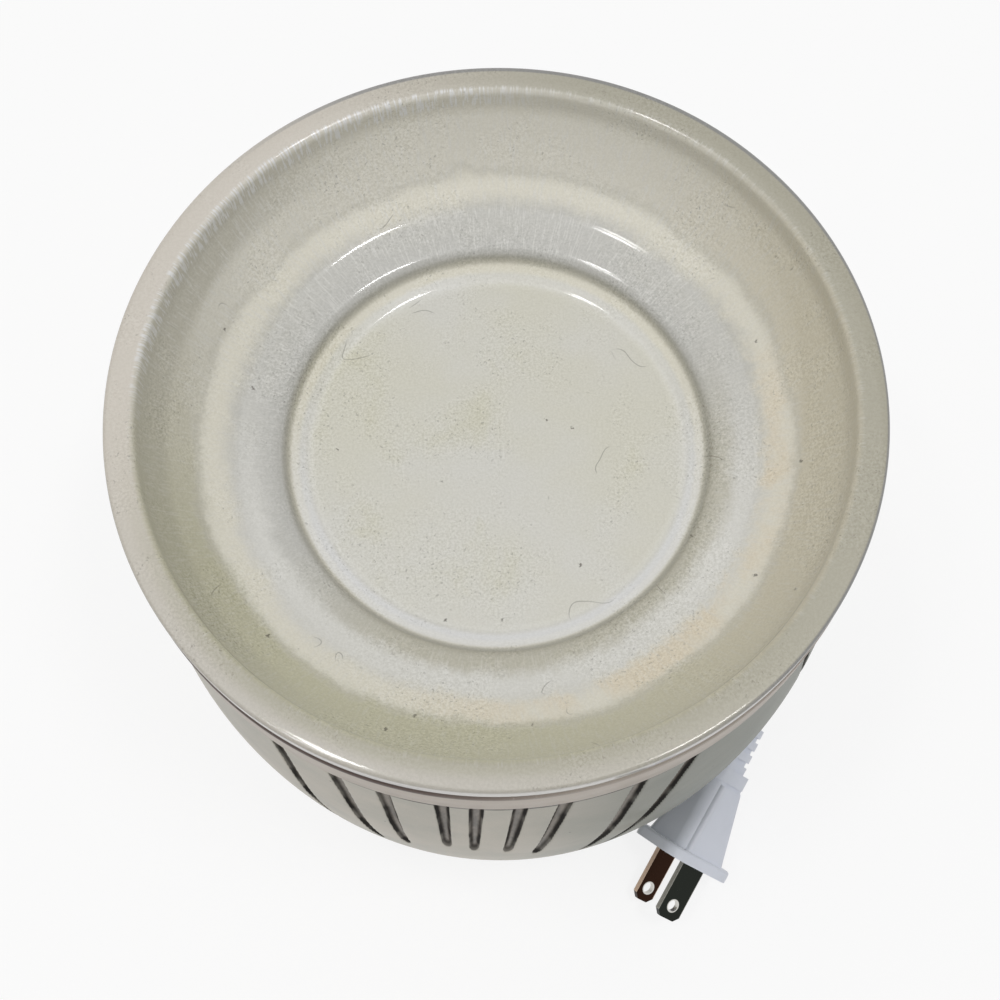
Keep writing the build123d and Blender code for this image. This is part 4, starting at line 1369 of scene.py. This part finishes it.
@dataclass
class Studio:
    """Pale floor, soft light and the camera."""

    rim_centre: Point3 = (0.0, 0.0, 157.0)
    distance: float = 304.0
    elevation: float = 66.375
    aim: Point2 = (0.0517, -3.823)
    roll: float = -1.8
    focal_px: float = 1481.74
    frame_px: float = 1000.0
    sensor: float = 36.0
    sky: float = 0.415
    lamps: tuple[tuple[Point3, Point2, float], ...] = (
        ((-0.10, 0.05, 1.0), (1.5, 1.5), 3.75),
        ((0.27, -0.13, 0.955), (0.27, 0.12), 2.4),
        ((-0.30, -0.13, 0.945), (0.19, 0.07), 0.9),
        ((-0.21, -0.01, 0.98), (0.15, 0.07), 0.9),
    )
    lamp_way: float = 1.2
    lamp_aim: Point3 = (0.0, 0.0, 0.13)
    floor_size: float = 6.0
    floor_glow: float = 0.82

    def camera(self) -> None:
        """Put the camera where the picture was taken from."""
        lift = math.radians(self.elevation)
        away = Vector((0.0, -math.cos(lift), math.sin(lift)))
        spot = Vector(self.rim_centre) + away * self.distance
        ahead, right = -away, Vector((1.0, 0.0, 0.0))
        upward = right.cross(ahead)
        ax, ay = (math.tan(math.radians(a)) for a in self.aim)
        ahead = (ahead + right * ax + upward * ay).normalized()
        right = ahead.cross(Vector((0.0, 0.0, 1.0))).normalized()
        upward = right.cross(ahead)
        c, s = math.cos(math.radians(self.roll)), math.sin(math.radians(self.roll))
        right, upward = right * c + upward * s, upward * c - right * s
        data = bpy.data.cameras.new("camera")
        data.sensor_width = self.sensor
        data.lens = self.focal_px / self.frame_px * self.sensor
        data.clip_start, data.clip_end = 0.01, 50.0
        made = placed("camera", data)
        turn = Matrix((right, upward, -ahead)).transposed().to_4x4()
        made.matrix_world = Matrix.Translation(spot * MM) @ turn
        bpy.context.scene.camera = made

    def light(self) -> None:
        """Add the lamps, and an even sky that looks white."""
        for number, (way, size, power) in enumerate(self.lamps):
            data = bpy.data.lights.new(f"lamp_{number}", "AREA")
            data.shape = "ELLIPSE"
            data.size, data.size_y = size
            data.energy = power
            toward = Vector(way).normalized()
            spot = toward * self.lamp_way + Vector(self.lamp_aim)
            turn = toward.to_track_quat("Z", "Y").to_matrix().to_4x4()
            placed(data.name, data).matrix_world = Matrix.Translation(spot) @ turn
        g = Graph("sky", world=True)
        level = self.sky + (1.0 - self.sky) * g.backdrop_rays()
        shade = g.node("ShaderNodeBackground", None, {"Color": (1.0, 1.0, 1.0, 1.0), "Strength": level})
        g.node("ShaderNodeOutputWorld", None, {"Surface": Val(g, shade.outputs[0])})
        bpy.context.scene.world = g.owner

    def floor(self) -> None:
        """Lay a wide pale floor that keeps the object's shadow."""
        bm = bmesh.new()
        bmesh.ops.create_grid(bm, x_segments=1, y_segments=1, size=self.floor_size)
        mesh = bpy.data.meshes.new("floor")
        bm.to_mesh(mesh)
        bm.free()
        g = Graph("floor_white")
        matt = g.node("ShaderNodeBsdfDiffuse", None, {"Color": (0.97, 0.97, 0.97, 1.0)})
        glow = g.node("ShaderNodeEmission", None, {"Color": (1.0, 1.0, 1.0, 1.0), "Strength": 1.0})
        seen = g.backdrop_rays() * self.floor_glow
        shades = {0: seen, 1: Val(g, matt.outputs[0]), 2: Val(g, glow.outputs[0])}
        both = g.node("ShaderNodeMixShader", None, shades)
        g.node("ShaderNodeOutputMaterial", None, {"Surface": Val(g, both.outputs[0])})
        mesh.materials.append(g.owner)
        placed("floor", mesh)

    def build(self) -> None:
        """Set up the picture."""
        bpy.context.scene.view_settings.view_transform = "Standard"
        self.camera()
        self.light()
        self.floor()


def main() -> None:
    """Build and dress every sub-assembly."""
    logging.basicConfig(level=logging.INFO, format="%(name)s: %(message)s")
    Studio().build()
    for part in (Cord(), MeltDish(), FlutedBody(), Heater(), Base(), InlineSwitch(), Plug()):
        part.build()


if __name__ == "__main__":
    main()
